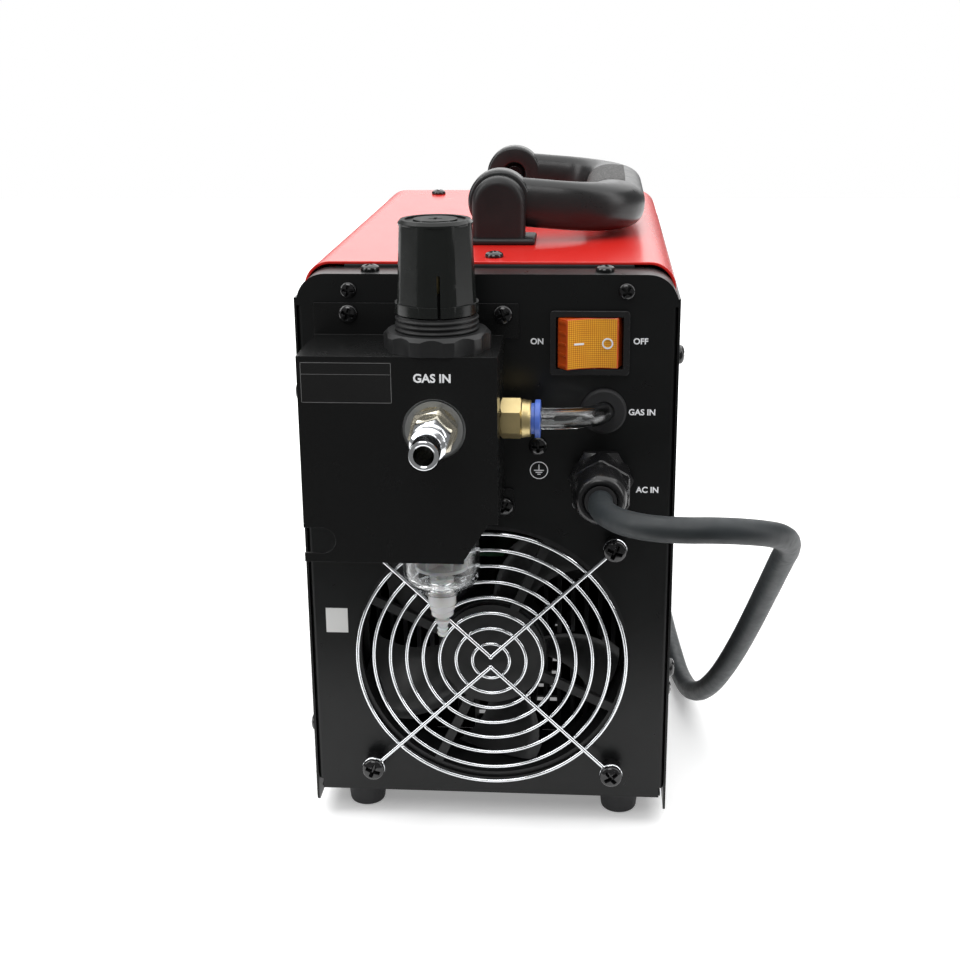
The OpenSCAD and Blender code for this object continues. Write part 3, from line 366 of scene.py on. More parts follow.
def words(name, text, size, origin, normal, up):
    """Plain printed legend, standing a twentieth of a millimetre proud."""
    proud, weight = 0.05, 0.028
    curve = bpy.data.curves.new(name, "FONT")
    curve.body = text
    curve.size = size * MM
    curve.extrude = proud * MM
    curve.align_x = "CENTER"
    curve.align_y = "CENTER"
    curve.offset = weight * size * MM
    o = bpy.data.objects.new(name, curve)
    bpy.context.scene.collection.objects.link(o)
    o.matrix_world = axis_matrix(origin, normal, Vector(up).cross(Vector(normal)))
    bpy.context.view_layer.update()
    depsgraph = bpy.context.evaluated_depsgraph_get()
    me = bpy.data.meshes.new_from_object(o.evaluated_get(depsgraph))
    me.transform(o.matrix_world)
    bpy.data.objects.remove(o)
    me.materials.clear()
    me.materials.append(INK)
    piece = bpy.data.objects.new(name, me)
    bpy.context.scene.collection.objects.link(piece)
    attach(piece, "case")


# ---------- mains cord ----------

CORD_D = 0.010
CORD_EXIT = (0.0475, -0.1435, 0.163)
CORD_START = (0.0475, -0.1375, 0.163)  # inside the gland
ROUTE = [
    CORD_EXIT, (0.0478, -0.1515, 0.1631), (0.0503, -0.1606, 0.1634),
    (0.0551, -0.1688, 0.1638), (0.0619, -0.1754, 0.1643), (0.0701, -0.18, 0.1649),
    (0.0793, -0.1824, 0.1655), (0.0887, -0.1823, 0.1656), (0.0978, -0.1799, 0.1646),
    (0.106, -0.1755, 0.1626), (0.1126, -0.1694, 0.1597), (0.1174, -0.1621, 0.1558),
    (0.1201, -0.1544, 0.1511), (0.1209, -0.1468, 0.1455), (0.1204, -0.1395, 0.1394),
    (0.1198, -0.1325, 0.133), (0.1191, -0.1257, 0.1264), (0.1184, -0.119, 0.1198),
    (0.1175, -0.1124, 0.113), (0.1166, -0.1059, 0.1061), (0.1145, -0.0924, 0.0915),
    (0.1121, -0.079, 0.0768), (0.1095, -0.0653, 0.0624), (0.1068, -0.0512, 0.0486),
    (0.1039, -0.0363, 0.0356), (0.101, -0.0202, 0.024), (0.0981, -0.0028, 0.0146),
    (0.0954, 0.0158, 0.0081), (0.0925, 0.0405, 0.0051), (0.0902, 0.0685, 0.0051), (0.0884, 0.0965, 0.0051),
    (0.087, 0.1235, 0.0051), (0.0862, 0.1505, 0.0051), (0.0852, 0.1775, 0.0051), (0.0836, 0.2045, 0.0051),
    (0.0814, 0.2325, 0.0051), (0.08, 0.2585, 0.0051),
]
COIL = (0.020, 0.2605)
PLUG_AT = (-42, 432, 19.2)


def smooth_step(a, b, v):
    """0 below a, 1 above b and a smooth run between."""
    t = min(max((v - a) / (b - a), 0), 1)
    return t * t * (3 - 2 * t)


def coil_points():
    """Outer and inner turn on the floor, then inner and outer turn on top of them."""
    points = []
    for degrees in range(8, 1171, 6):
        r = 0.060 - 0.010 * smooth_step(285, 350, degrees) + 0.010 * smooth_step(940, 1005, degrees)
        z = 0.0051 + 0.0101 * smooth_step(596, 652, degrees)
        a = rad(degrees)
        points.append((COIL[0] + r * math.cos(a), COIL[1] + r * math.sin(a), z))
    x, y, z = points[-1]
    points += [(x - 0.009, y + 0.0003, z + 0.0006), (x - 0.018, y + 0.0005, z + 0.0019),
               (x - 0.027, y + 0.0005, z + 0.0032), (x - 0.034, y + 0.0005, z + 0.0039),
               (x - 0.044, y + 0.0005, z + 0.004)]
    return points


def spline_through(points, steps):
    """Catmull-Rom points through the given ones."""
    v = [Vector(p) for p in points]
    v = [2 * v[0] - v[1]] + v + [2 * v[-1] - v[-2]]
    out = []
    for i in range(1, len(v) - 2):
        p0, p1, p2, p3 = v[i - 1:i + 3]
        for k in range(steps):
            t = k / steps
            out.append(0.5 * (2 * p1 + (p2 - p0) * t + (2 * p0 - 5 * p1 + 4 * p2 - p3) * t * t
                              + (3 * p1 - p0 - 3 * p2 + p3) * t ** 3))
    out.append(v[-2])
    return out


def make_cord():
    path = spline_through([CORD_START] + ROUTE, 4)[:-1]
    path += spline_through([ROUTE[-1]] + coil_points(), 2)
    curve = bpy.data.curves.new("mains_cord", "CURVE")
    curve.dimensions = "3D"
    curve.bevel_depth = CORD_D / 2
    curve.bevel_resolution = 6
    curve.use_fill_caps = True
    spline = curve.splines.new("POLY")
    spline.points.add(len(path) - 1)
    for q, p in zip(spline.points, path):
        q.co = (*p, 1)
    spline.use_smooth = True
    curve.materials.append(CORD)
    o = bpy.data.objects.new("mains_cord", curve)
    bpy.context.scene.collection.objects.link(o)
    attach(o, "case")
    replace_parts(o, "cord_tube", "cord_coil")
    length = sum((a - b).length for a, b in zip(path, path[1:]))
    print("cord length %.3f m" % length)
    return o, round(length, 2)


def make_plug():
    """Turned plug body with a finger grip of shallow ribs and a ribbed strain relief."""
    bm = bmesh.new()
    profile = [(0, -29), (5.0, -29), (6.4, -28.4)]
    for i in range(6):
        h = -27 + 4.2 * i
        r = 6.5 + 0.55 * i
        profile += [(r, h), (r + 0.9, h + 0.5), (r + 0.9, h + 2.3), (r, h + 2.8)]
    profile += [(10, -1.5), (12.6, -0.8), (15, 0.6)]
    for i in range(5):
        h = 2 + 2.4 * i
        r = 15.2 + 0.6 * i
        profile += [(r + 0.5, h), (r + 0.7, h + 0.8), (r - 0.2, h + 1.6)]
    profile += [(18.3, 14), (18.8, 15), (18.8, 40.6), (18.2, 41.7), (0, 41.8)]
    m = axis_matrix(at(*PLUG_AT), (-1, 0, 0), (0, 0, 1))
    add_lathe(bm, profile, m, 72, closed=False)
    for s in (-1, 1):
        add_block(bm, (-2, s * 18.6 - 1.4, 17), (2, s * 18.6 + 1.4, 38), m, 0.5)
    plug = finish_mesh("plug_grip", bm, RUBBER, "case")
    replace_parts(plug, "plug_body")
    return plug


def make_ties():
    """Two flat hook-and-loop straps round the turns of the coil."""
    bm = bmesh.new()
    middle_r, middle_z, half_wide, half_thick = 0.055, 10.35, 0.008, 0.0004
    for degrees in (205, 330):
        a = rad(degrees)
        out = Vector((math.cos(a), math.sin(a), 0))
        along = Vector((-math.sin(a), math.cos(a), 0))
        loop = []
        for i in range(40):
            b = 2 * math.pi * i / 40
            c, s = math.cos(b), math.sin(b)
            k = 1 / (abs(c) ** 5 + abs(s) ** 5) ** 0.2
            loop.append((c * k * 10.6, s * k * 9.9 + middle_z))
        rings = []
        for u, z in loop:
            centre = Vector((COIL[0], COIL[1], 0)) + out * (middle_r + u * MM)
            n = (out * u + Vector((0, 0, z - middle_z))).normalized()
            p = centre + Vector((0, 0, z * MM))
            rings.append([p + along * half_wide * i + n * half_thick * j
                          for i, j in ((-1, -1), (1, -1), (1, 1), (-1, 1))])
        add_strip(bm, rings, loop=True)
    return finish_mesh("cord_ties", bm, PAD, "case")


cord, cord_length = make_cord()
plug = make_plug()
ties = make_ties()
pins = refine("plug_pins", CHROME, 0.5)


# ---------- refined CAD pieces ----------

# node: its material and the width of its broken edges, in millimetres
FINE = {
    "tray": (PAINT, 0.25), "rear_panel": (PAINT, 0.45), "front_panel": (PAINT, 0.3),
    "front_bezel": (PLASTIC, 0.0), "top_cover": (RED, 0.3), "side_panel_left": (PAINT, 0.25),
    "side_panel_right": (PAINT, 0.25), "cover_seals": (RUBBER, 0.1), "feet": (RUBBER, 0.35),
    "pivot_screws": (SCREW, 0.15), "regulator_bracket": (BRACKET, 0.6),
    "regulator_body": (ALLOY, 0.6), "regulator_collar": (PLASTIC, 0.1), "ring_nut": (PLASTIC, 0.5),
    "adjusting_screw": (BRASS, 0.2), "regulator_knob": (KNOB, 0.35), "bowl": (BOWL, 0.0),
    "filter_element": (FILTER, 0.25), "baffle": (MILKY, 0.15), "tube_collet": (BLUE, 0.3),
    "air_tube": (TUBE, 0.0), "tube_grommet": (RUBBER, 0.0), "solenoid_valve": (ALLOY, 0.0),
    "solenoid_plunger": (STEEL, 0.3), "switch_body": (GLOSS, 0.4), "gland_seal": (RUBBER, 0.2),
    "fan_frame": (PLASTIC, 0.3), "fan_guard": (CHROME, 0.0), "guard_spacers": (GLOSS, 0.2),
    "heatsinks": (DARK_ALLOY, 0.2),
    "power_devices": (EPOXY, 0.4), "main_board": (BOARD, 0.1), "capacitors": (SLEEVE, 0.5),
    "transformer_core": (FERRITE, 0.6), "transformer_winding": (COPPER, 1.2), "work_socket": (GLOSS, 0.4),
    "torch_connector": (BRASS, 0.3), "dial_shaft": (STEEL, 0.2), "potentiometer": (STEEL, 0.4),
}
for node, (mat, width) in FINE.items():
    fine = refine(node, mat, width)
    if node == "regulator_knob":
        fine.data.materials.append(KNOB_TOP)
        for face in fine.data.polygons:
            face.material_index = 1 if face.normal.z > 0.95 else 0


# ---------- handle ----------

PIVOT = (1.0, 268.0)
FOLD = rad(4.7)  # how far the folded handle hangs below level
ARM_Y = (72.4, 202.6)
REACH = 65.5
GRIP_HALF = (13.5, 10.75)  # half of the grip's width and height
ROUNDNESS = 2.5


def folded(u, y, w):
    """A point of the folded handle: u out from the hinge axis, w up, in millimetres."""
    x = PIVOT[0] + u * math.cos(FOLD) + w * math.sin(FOLD)
    z = PIVOT[1] - u * math.sin(FOLD) + w * math.cos(FOLD)
    return at(x, y, z)


def handle_path():
    """Centre line of the handle as (u, y, half width), from one lug to the other."""
    near, far, out, r = ARM_Y[0] + 6, ARM_Y[1] - 6, REACH - GRIP_HALF[0], 26.0
    pts = [(7.5 + 4.6 * i, near, 6.0) for i in range(4)]
    for i in range(0, 13):
        a = rad(-90 + 7.5 * i)
        pts.append((out - r + r * math.cos(a), near + r + r * math.sin(a), 6 + 7.5 * smooth_step(0, 12, i)))
    run = far - near - 2 * r
    pts += [(out, near + r + run * i / 14, 13.5) for i in range(1, 14)]
    for i in range(0, 13):
        a = rad(7.5 * i)
        pts.append((out - r + r * math.cos(a), far - r + r * math.sin(a), 13.5 - 7.5 * smooth_step(0, 12, i)))
    pts += [(7.5 + 4.6 * i, far, 6.0) for i in (3, 2, 1, 0)]
    return pts


def make_handle():
    bm = bmesh.new()
    path = handle_path()
    rings = []
    for i, (u, y, half) in enumerate(path):
        a, b = path[max(i - 1, 0)], path[min(i + 1, len(path) - 1)]
        d = Vector((b[0] - a[0], b[1] - a[1], 0)).normalized()
        side = Vector((d.y, -d.x, 0))
        ring = []
        for k in range(40):
            t = 2 * math.pi * k / 40
            c, s = math.cos(t), math.sin(t)
            f = 1 / (abs(c) ** ROUNDNESS + abs(s) ** ROUNDNESS) ** (1 / ROUNDNESS)
            ring.append(folded(u + side.x * c * f * half, y + side.y * c * f * half, s * f * GRIP_HALF[1]))
        rings.append(ring)
    add_strip(bm, rings)
    body = [(3.05, 0.0), (12.4, 0.0), (13.4, 0.5), (14.0, 1.6), (14.0, 10.4), (13.4, 11.5), (12.4, 12.0),
            (6.6, 12.0), (5.9, 11.4), (5.9, 7.0), (3.05, 7.0)]
    outward = (math.sin(FOLD), 0, math.cos(FOLD))
    add_lathe(bm, body, axis_matrix(at(PIVOT[0], ARM_Y[0], PIVOT[1]), (0, 1, 0), outward), 64)
    add_lathe(bm, body, axis_matrix(at(PIVOT[0], ARM_Y[1], PIVOT[1]), (0, -1, 0), outward), 64)
    o = finish_mesh("handle_grip", bm, HANDLE, "handle", 50)
    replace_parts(o, "handle")


def make_pad():
    """Soft insert that wraps the inner upper side of the grip."""
    bm = bmesh.new()
    y0, y1, out = ARM_Y[0] + 30, ARM_Y[1] - 30, REACH - GRIP_HALF[0]
    angles = [rad(a) for a in range(76, 179, 6)]

    def skin(y, lift):
        ring = []
        for t in angles:
            c, s = math.cos(t), math.sin(t)
            f = 1 / (abs(c) ** ROUNDNESS + abs(s) ** ROUNDNESS) ** (1 / ROUNDNESS)
            ring.append(folded(out + c * (f * GRIP_HALF[0] + lift), y, s * (f * GRIP_HALF[1] + lift)))
        return ring

    rings = []
    for i in range(31):
        t = i / 30
        lift = 0.62 * min(1, 9 * t, 9 * (1 - t)) ** 0.5 if 0 < t < 1 else 0.0
        y = y0 + (y1 - y0) * t
        rings.append(skin(y, lift) + list(reversed(skin(y, -0.5))))
    add_strip(bm, rings)
    o = finish_mesh("grip_insert", bm, PAD, "handle", 50)
    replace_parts(o, "grip_pad")


def make_pedestals():
    """Arched blocks with a broad soft edge, each on a flat foot."""
    bm = bmesh.new()
    for end, sign in ((64.0, 1), (211.0, -1)):
        rings = []
        steps = [(3.6 * (1 - math.sin(rad(a))), 3.6 * (1 - math.cos(rad(a)))) for a in range(0, 91, 15)]
        steps += [(0, 7.5), (0.5, 8.0)]
        for inset, depth in steps:
            half = 11.75 - inset
            ring = [(-half, 251.0), (half, 251.0)]
            ring += [(half * math.cos(rad(a)), 268.0 + half * math.sin(rad(a))) for a in range(0, 181, 6)]
            rings.append([at(PIVOT[0] + x, end + sign * depth, z) for x, z in ring])
        add_strip(bm, rings)
        ys = sorted((end - 2 * sign, end + 21 * sign))
        add_block(bm, (PIVOT[0] - 16.3, ys[0], 250.2), (PIVOT[0] + 16.3, ys[1], 253.0), UNIT, 1.2, 4)
    o = finish_mesh("handle_feet", bm, PLASTIC, "case", 50)
    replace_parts(o, "handle_pedestals")


make_handle()
make_pad()
make_pedestals()


# ---------- fan ----------

FAN = (1.5, 81.2)


def make_impeller():
    """Hub cup and five swept, twisted blades."""
    bm = bmesh.new()
    m = axis_matrix(at(FAN[0], 5.0, FAN[1]), (0, 1, 0), (1, 0, 0))
    cup = [(2.05, 0.8), (5, 0.8), (5, 0), (22.2, 0), (23.4, 0.5), (24, 1.8), (24, 18.2), (23.2, 19),
           (2.05, 19)]
    add_lathe(bm, cup, m, 72)
    for b in range(5):
        rings = []
        for i in range(15):
            t = i / 14
            r = 23.0 + 32.3 * t
            twist = rad(52 - 24 * t)
            sweep = rad(72 * b + 16 * t * t)
            chord = 27 + 17 * t - 12 * max(t - 0.8, 0)
            ring = []
            for k in range(22):
                q = k / 11 if k < 11 else (22 - k) / 11
                side = 1 if k < 11 else -1
                s = (q - 0.5) * chord
                thick = 1.0 * math.sqrt(max(1 - (2 * q - 1) ** 4, 0)) + 0.05
                camber = 3.2 * (1 - (2 * q - 1) ** 2)
                n = camber - 1.6 + side * thick
                along = s * math.cos(twist) - n * math.sin(twist)
                axial = s * math.sin(twist) + n * math.cos(twist)
                axial = min(max(axial, -8.6), 8.6)
                a = sweep + along / r
                ring.append(m @ Vector((r * math.cos(a) * MM, r * math.sin(a) * MM, (9.3 + axial) * MM)))
            rings.append(ring)
        add_strip(bm, rings)
    o = finish_mesh("fan_rotor", bm, PLASTIC, "impeller")
    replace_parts(o, "fan_impeller")


make_impeller()


# ---------- air fittings ----------

REG = (-17.3, -22.6)
PORT_Z = 194.4
GLAND = (47.5, 163)


def make_air_fittings():
    """The inlet's hexagon and plug, and the push-in connector of the air tube."""
    face = REG[1] - 18.4
    bm = bmesh.new()
    add_hex(bm, at(REG[0], face, PORT_Z), (0, -1, 0), 17, 6.5, 4.4, (0.3, 0, 1))
    add_lathe(bm, [(4.4, -10.5), (6.5, -10.5), (6.5, 0.1), (8.6, 0.1), (8.6, -0.8), (9.2, -0.8), (9.2, 0.3),
                   (4.4, 0.3)], axis_matrix(at(REG[0], face, PORT_Z), (0, -1, 0)), 64)
    o = finish_mesh("inlet_hexagon", bm, NICKEL, "case", 30)
    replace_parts(o, "inlet_bushing")
    y0 = face - 6.5
    bm = bmesh.new()
    add_hex(bm, at(REG[0], y0, PORT_Z), (0, -1, 0), 14, 8.5, 5.0, (1, 0, 0.25))
    prof = [(3.9, 0.0), (6.2, 0.0), (6.2, 8.4), (6.7, 8.6), (6.7, 9.4), (6.3, 9.8), (5.9, 10.1), (5.9, 13.3),
            (6.6, 13.7), (7.0, 14.1), (7.0, 15.4), (6.7, 15.8), (5.4, 16.8), (5.0, 17.2), (5.0, 19.0),
            (5.3, 19.5), (5.75, 20.0), (5.75, 28.4), (5.6, 28.9), (5.2, 29.2), (4.4, 29.4), (3.9, 29.1)]
    add_lathe(bm, prof, axis_matrix(at(REG[0], y0, PORT_Z), (0, -1, 0)), 72)
    o = finish_mesh("inlet_nipple", bm, CHROME, "case", 30)
    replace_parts(o, "inlet_plug")
    x0 = REG[0] + 20
    bm = bmesh.new()
    m = axis_matrix(at(x0, REG[1], PORT_Z), (1, 0, 0), (0, 0, 1))
    add_hex(bm, m @ Vector((0, 0, 4.7 * MM)), (1, 0, 0), 14.5, 8.6, 6.2, (0, 0, 1))
    add_lathe(bm, [(3.4, 0.2), (7.0, 0.2), (7.0, 5.0), (6.25, 5.0), (6.25, 4.0), (3.4, 4.0)], m, 64)
    add_lathe(bm, [(6.2, 12.9), (7.4, 12.9), (7.7, 13.4), (7.7, 13.9), (7.3, 15.4), (7.3, 16.5), (7.0, 16.85),
                   (6.2, 16.85)], m, 64)
    o = finish_mesh("tube_connector", bm, BRASS, "case", 30)
    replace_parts(o, "tube_fitting")


def make_gland_body():
    """Hexagon against the panel, threaded tube and the lock nut behind the panel."""
    bm = bmesh.new()
    add_hex(bm, at(GLAND[0], 0, GLAND[1]), (0, -1, 0), 24, 5, 6.9, (1, 0, 0))
    thread = [(6.8, -9.8), (9.4, -9.8)]
    h = -9.6
    while h < 8.4:
        thread += [(9.9, h + 0.35), (9.9, h + 0.55), (9.35, h + 0.95)]
        h += 1.0
    thread += [(9.4, 8.9), (6.8, 8.9)]
    add_lathe(bm, thread, axis_matrix(at(GLAND[0], 0, GLAND[1]), (0, -1, 0)), 64)
    add_hex(bm, at(GLAND[0], 7, GLAND[1]), (0, 1, 0), 24, 5.5, 9.9, (1, 0, 0))
    o = finish_mesh("gland_thread", bm, GLOSS, "case", 30)
    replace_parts(o, "gland_body")


def make_gland_nut():
    """Finely ribbed hexagon nut that runs out in a full dome."""
    bm = bmesh.new()
    m = axis_matrix(at(GLAND[0], 0, GLAND[1]), (0, -1, 0), (0, 0, 1))
    n, flats, corner_r, bore, rib_half = 432, 23.5, 13.1, 10.05, 0.13
    ring = [2 * math.pi * i / n for i in range(n)]
    rows = []
    for h, cut, rib in ((5.2, 0.7, 0), (5.9, 0, 0), (6.2, 0, 1), (18.0, 0, 1), (18.3, 0, 0), (19.0, 0.6, 0)):
        row = []
        for i, a in enumerate(ring):
            r = min(hexagon(flats, a), corner_r) - cut
            r += rib * (rib_half if i % 4 in (1, 2) else -rib_half)
            row.append(m @ Vector((r * MM * math.cos(a), r * MM * math.sin(a), h * MM)))
        rows.append(row)
    inner = [[m @ Vector((bore * MM * math.cos(a), bore * MM * math.sin(a), h * MM)) for a in ring]
             for h in (19.0, 5.2)]
    add_strip(bm, rows + inner, loop=True)
    dome = [(6.5, 24), (6.5, 30.6), (6.7, 31.3), (7.3, 31.9), (8.1, 32.0), (9.0, 31.6), (9.8, 30.8),
            (10.4, 29.6), (10.8, 27.8), (11.1, 25.4), (11.35, 22), (11.5, 18.6), (10.1, 18.6)]
    add_lathe(bm, dome, m, 96)
    o = finish_mesh("gland_cap", bm, GLOSS, "case", 50)
    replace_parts(o, "gland_nut")


make_air_fittings()
make_gland_body()
make_gland_nut()


def make_drain():
    """Stepped neck under the bowl, and the barbed tip that pushes up into it."""
    bm = bmesh.new()
    m = axis_matrix(at(REG[0], REG[1], 0), (0, 0, 1))
    add_lathe(bm, [(2.2, 109.5), (4.3, 109.5), (4.6, 109.9), (4.6, 111.6), (5.0, 112.2), (5.2, 112.4),
                   (5.2, 114.2), (5.8, 114.9), (5.8, 119.6), (5.1, 120), (5.1, 126), (2.2, 126)], m, 64)
    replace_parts(finish_mesh("drain_neck", bm, MILKY, "case", 30), "drain_body")
    bm = bmesh.new()
    barbs = [(1.0, 100.2), (1.5, 100.0)]
    for i in range(3):
        h = 100.1 + 2.1 * i
        barbs += [(1.9, h + 0.2), (2.35, h + 1.3), (2.3, h + 1.6), (1.75, h + 1.9)]
    barbs += [(2.0, 106.25), (3.1, 106.3), (3.2, 106.5), (3.2, 107.1), (2.9, 107.4), (2.1, 107.5),
              (2.1, 117.8), (1.0, 118)]
    add_lathe(bm, barbs, m, 48)
    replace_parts(finish_mesh("drain_tip", bm, MILKY, "drain", 30), "drain_nipple")


make_drain()


# ---------- screws ----------

PAN_HEAD = (3.9, 2.6, 2.0)  # radius and height of the head, radius of the shank


def add_screw(bm, origin, axis, head, length, turn=0.0):
    """Domed cross-recess screw; the shank runs along -axis from the seat at the origin."""
    head_r, dome, shank_r = head
    sides = 64
    m = axis_matrix(origin, axis, (0.31, 0.45, 0.84)) @ Matrix.Rotation(turn, 4, "Z")
    rim = 0.34 * dome
    rows = [(shank_r, -length, 0), (shank_r, 0, 0), (head_r - 0.25, 0, 0), (head_r, 0.25, 0),
            (head_r, rim, 0)]
    rows += [(head_r * k / 22, 0, 1) for k in range(22, 0, -1)]
    arm, wide, deep = 0.66 * head_r, 0.17 * head_r, 0.75 * dome
    rings = []
    for r, h, top in rows:
        ring = []
        for i in range(sides):
            a = 2 * math.pi * i / sides
            x, y = r * math.cos(a), r * math.sin(a)
            z = h
            if top:
                z = rim + (dome - rim) * math.sqrt(max(1 - (r / head_r) ** 2, 0))
                inside = max(min(wide - abs(x), arm - abs(y)), min(wide - abs(y), arm - abs(x)))
                z -= deep * min(max(inside / (0.10 * head_r), 0), 1)
            ring.append(m @ Vector((x * MM, y * MM, z * MM)))
        rings.append(ring)
    add_strip(bm, rings)


def make_screws():
    """All the visible screws, a piece for each CAD node of them."""
    side_right, side_left = [(8, 214), (8, 74), (30, 54), (245, 34)], [(8, 197), (8, 43), (245, 34)]
    fan = [(FAN[0] + s * 52.5, FAN[1] + t * 52.5) for s in (-1, 1) for t in (-1, 1)]
    back = (0, -1, 0)
    bm = bmesh.new()
    for i, (x, z) in enumerate(fan):
        add_screw(bm, at(x, -8.0, z), back, (4.9, 3.0, 2.0), 38.5, 0.5 * i)
        add_hex(bm, at(x, 26.5, z), (0, 1, 0), 7, 3.2, 1.9)
    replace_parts(finish_mesh("fan_bolts", bm, SCREW, "case", 40), "fan_screws")
    bm = bmesh.new()
    for i, (x, z) in enumerate([(-56, 232), (7.2, 232), (7.4, 150.3)]):
        add_screw(bm, at(x, -1.2, z), back, PAN_HEAD, 7, 0.7 * i)
    add_screw(bm, at(21.4, 0, 176.7), back, PAN_HEAD, 7, 0.4)
    add_lathe(bm, [(0, 1.3), (2.6, 1.25), (4.0, 0.9), (4.8, 0.1), (4.8, 0), (2.0, 0), (2.0, -5), (0, -5)],
              axis_matrix(at(-70.2, -22, PORT_Z), (-1, 0, 0), (0, 0, 1)), 48, closed=False)
    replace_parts(finish_mesh("bracket_bolts", bm, SCREW, "case", 40), "bracket_screws")
    bm = bmesh.new()
    for i, x in enumerate((-55.8, 56.8)):
        add_screw(bm, at(x, 0, 241.4), back, (3.4, 2.1, 1.5), 6, 0.3 + i)
    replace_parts(finish_mesh("corner_bolts", bm, SCREW, "case", 40), "corner_screws")
    bm = bmesh.new()
    for i, (x, y) in enumerate([(-48, 9), (48, 9)]):
        add_screw(bm, at(x, y, 248), (0, 0, 1), PAN_HEAD, 6, i)
    for i, (x, y) in enumerate([(1.6, 30), (-45.5, 255), (45.5, 255)]):
        add_screw(bm, at(x, y, 250.2), (0, 0, 1), PAN_HEAD, 6, 0.6 * i)
    for sign, places in ((1, side_right), (-1, side_left)):
        for i, (y, z) in enumerate(places):
            add_screw(bm, at(sign * 78.5, y, z), (sign, 0, 0), PAN_HEAD, 6, 0.8 * i)
    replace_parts(finish_mesh("case_bolts", bm, SCREW, "case", 40), "case_screws")


make_screws()


# ---------- rocker ----------

ROCKER = Matrix.Translation(at(42.2, 2, 220.5)) @ Matrix.Rotation(rad(10), 4, "Z")
ROCKER_HALF = 10.4  # half of its face's width and height


def make_rocker():
    """The rocker with its dotted amber faces in a deeper orange shell, ribbed at the raised end."""
    bm = bmesh.new()
    curve = [(x, -4.6 - 2.0 * (x / ROCKER_HALF) ** 2)
             for x in (-ROCKER_HALF, -8, -5.4, -2.7, 0, 2.7, 5.4, 8, ROCKER_HALF)]
    outline = [(-13.3, -1.2)] + curve + [(13.3, -1.2), (12.3, 2), (5, 6.2), (-5, 6.2), (-12.3, 2)]
    low = [bm.verts.new(ROCKER @ Vector((x * MM, y * MM, -ROCKER_HALF * MM))) for x, y in outline]
    high = [bm.verts.new(ROCKER @ Vector((x * MM, y * MM, ROCKER_HALF * MM))) for x, y in outline]
    for i in range(len(outline)):
        j = (i + 1) % len(outline)
        face = bm.faces.new((low[i], low[j], high[j], high[i]))
        face.material_index = 0 if 1 <= i <= 8 else 1
    for side in (low, high):
        bm.faces.new(side).material_index = 1
    bmesh.ops.recalc_face_normals(bm, faces=bm.faces)
    crisp = [e for e in bm.edges if e.calc_face_angle(0) > rad(20)]
    bmesh.ops.bevel(bm, geom=crisp, offset=0.45 * MM, segments=3, profile=0.5, affect="EDGES",
                    clamp_overlap=True, material=1)
    end = ROCKER @ axis_matrix((-11.85 * MM, -3.9 * MM, 0), (-5.4, -2.9, 0), (0, 0, 1))
    for i in range(5):
        z = -8.8 + 4.4 * i
        before = set(bm.faces)
        add_block(bm, (z - 0.6, -2.5, -0.1), (z + 0.6, 2.2, 0.3), end, 0.1)
        for face in set(bm.faces) - before:
            face.material_index = 1
    o = finish_mesh("amber_rocker", bm, AMBER, "rocker", 40)
    o.data.materials.append(SHELL)
    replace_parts(o, "rocker")


make_rocker()


# ---------- front dial ----------

DIAL_Z = 150
FRONT_Y = 270.5  # outer face of the front panel


def make_dial():
    """Fluted dial cap with its pointer, and the numbered scale round it."""
    bm = bmesh.new()
    m = axis_matrix(at(0, 271, DIAL_Z), (0, 1, 0), (1, 0, 0))
    rows = []
    for h, base, depth in [(0, 13.6, 0), (0.4, 14, 0), (2.6, 14, 0), (3.0, 13.4, 0), (3.2, 11.0, 0.5),
                           (13.6, 10.4, 0.5), (14.3, 9.8, 0.3), (14.4, 8.6, 0)]:
        row = []
        for i in range(144):
            a = 2 * math.pi * i / 144
            r = base - depth * (0.5 + 0.5 * math.cos(24 * a))
            row.append(m @ Vector((r * MM * math.cos(a), r * MM * math.sin(a), h * MM)))
        rows.append(row)
    add_strip(bm, rows)
    dial = finish_mesh("dial_cap", bm, GLOSS, "dial", 45)
    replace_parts(dial, "current_dial")
    bm = bmesh.new()
    add_block(bm, (-0.55, 285.2, DIAL_Z + 3), (0.55, 285.55, DIAL_Z + 9), UNIT, 0.1)
    finish_mesh("dial_pointer", bm, INK, "dial")
    bm = bmesh.new()
    for i in range(11):
        a = rad(-150 + 30 * i)
        turn = Matrix.Translation(at(0, FRONT_Y, DIAL_Z)) @ Matrix.Rotation(a, 4, "Y")
        add_block(bm, (-0.3, 0, 16.5), (0.3, 0.08, 19.5 if i % 5 == 0 else 18.3), turn)
    finish_mesh("dial_scale", bm, INK, "case")
    for i in range(0, 11, 2):
        a = rad(-150 + 30 * i)
        where = at(-24 * math.sin(a), FRONT_Y + 0.03, DIAL_Z + 24 * math.cos(a))
        words("dial_number_%d" % i, str(15 + 5 * i // 2), 4.2, where, (0, 1, 0), (0, 0, 1))


make_dial()


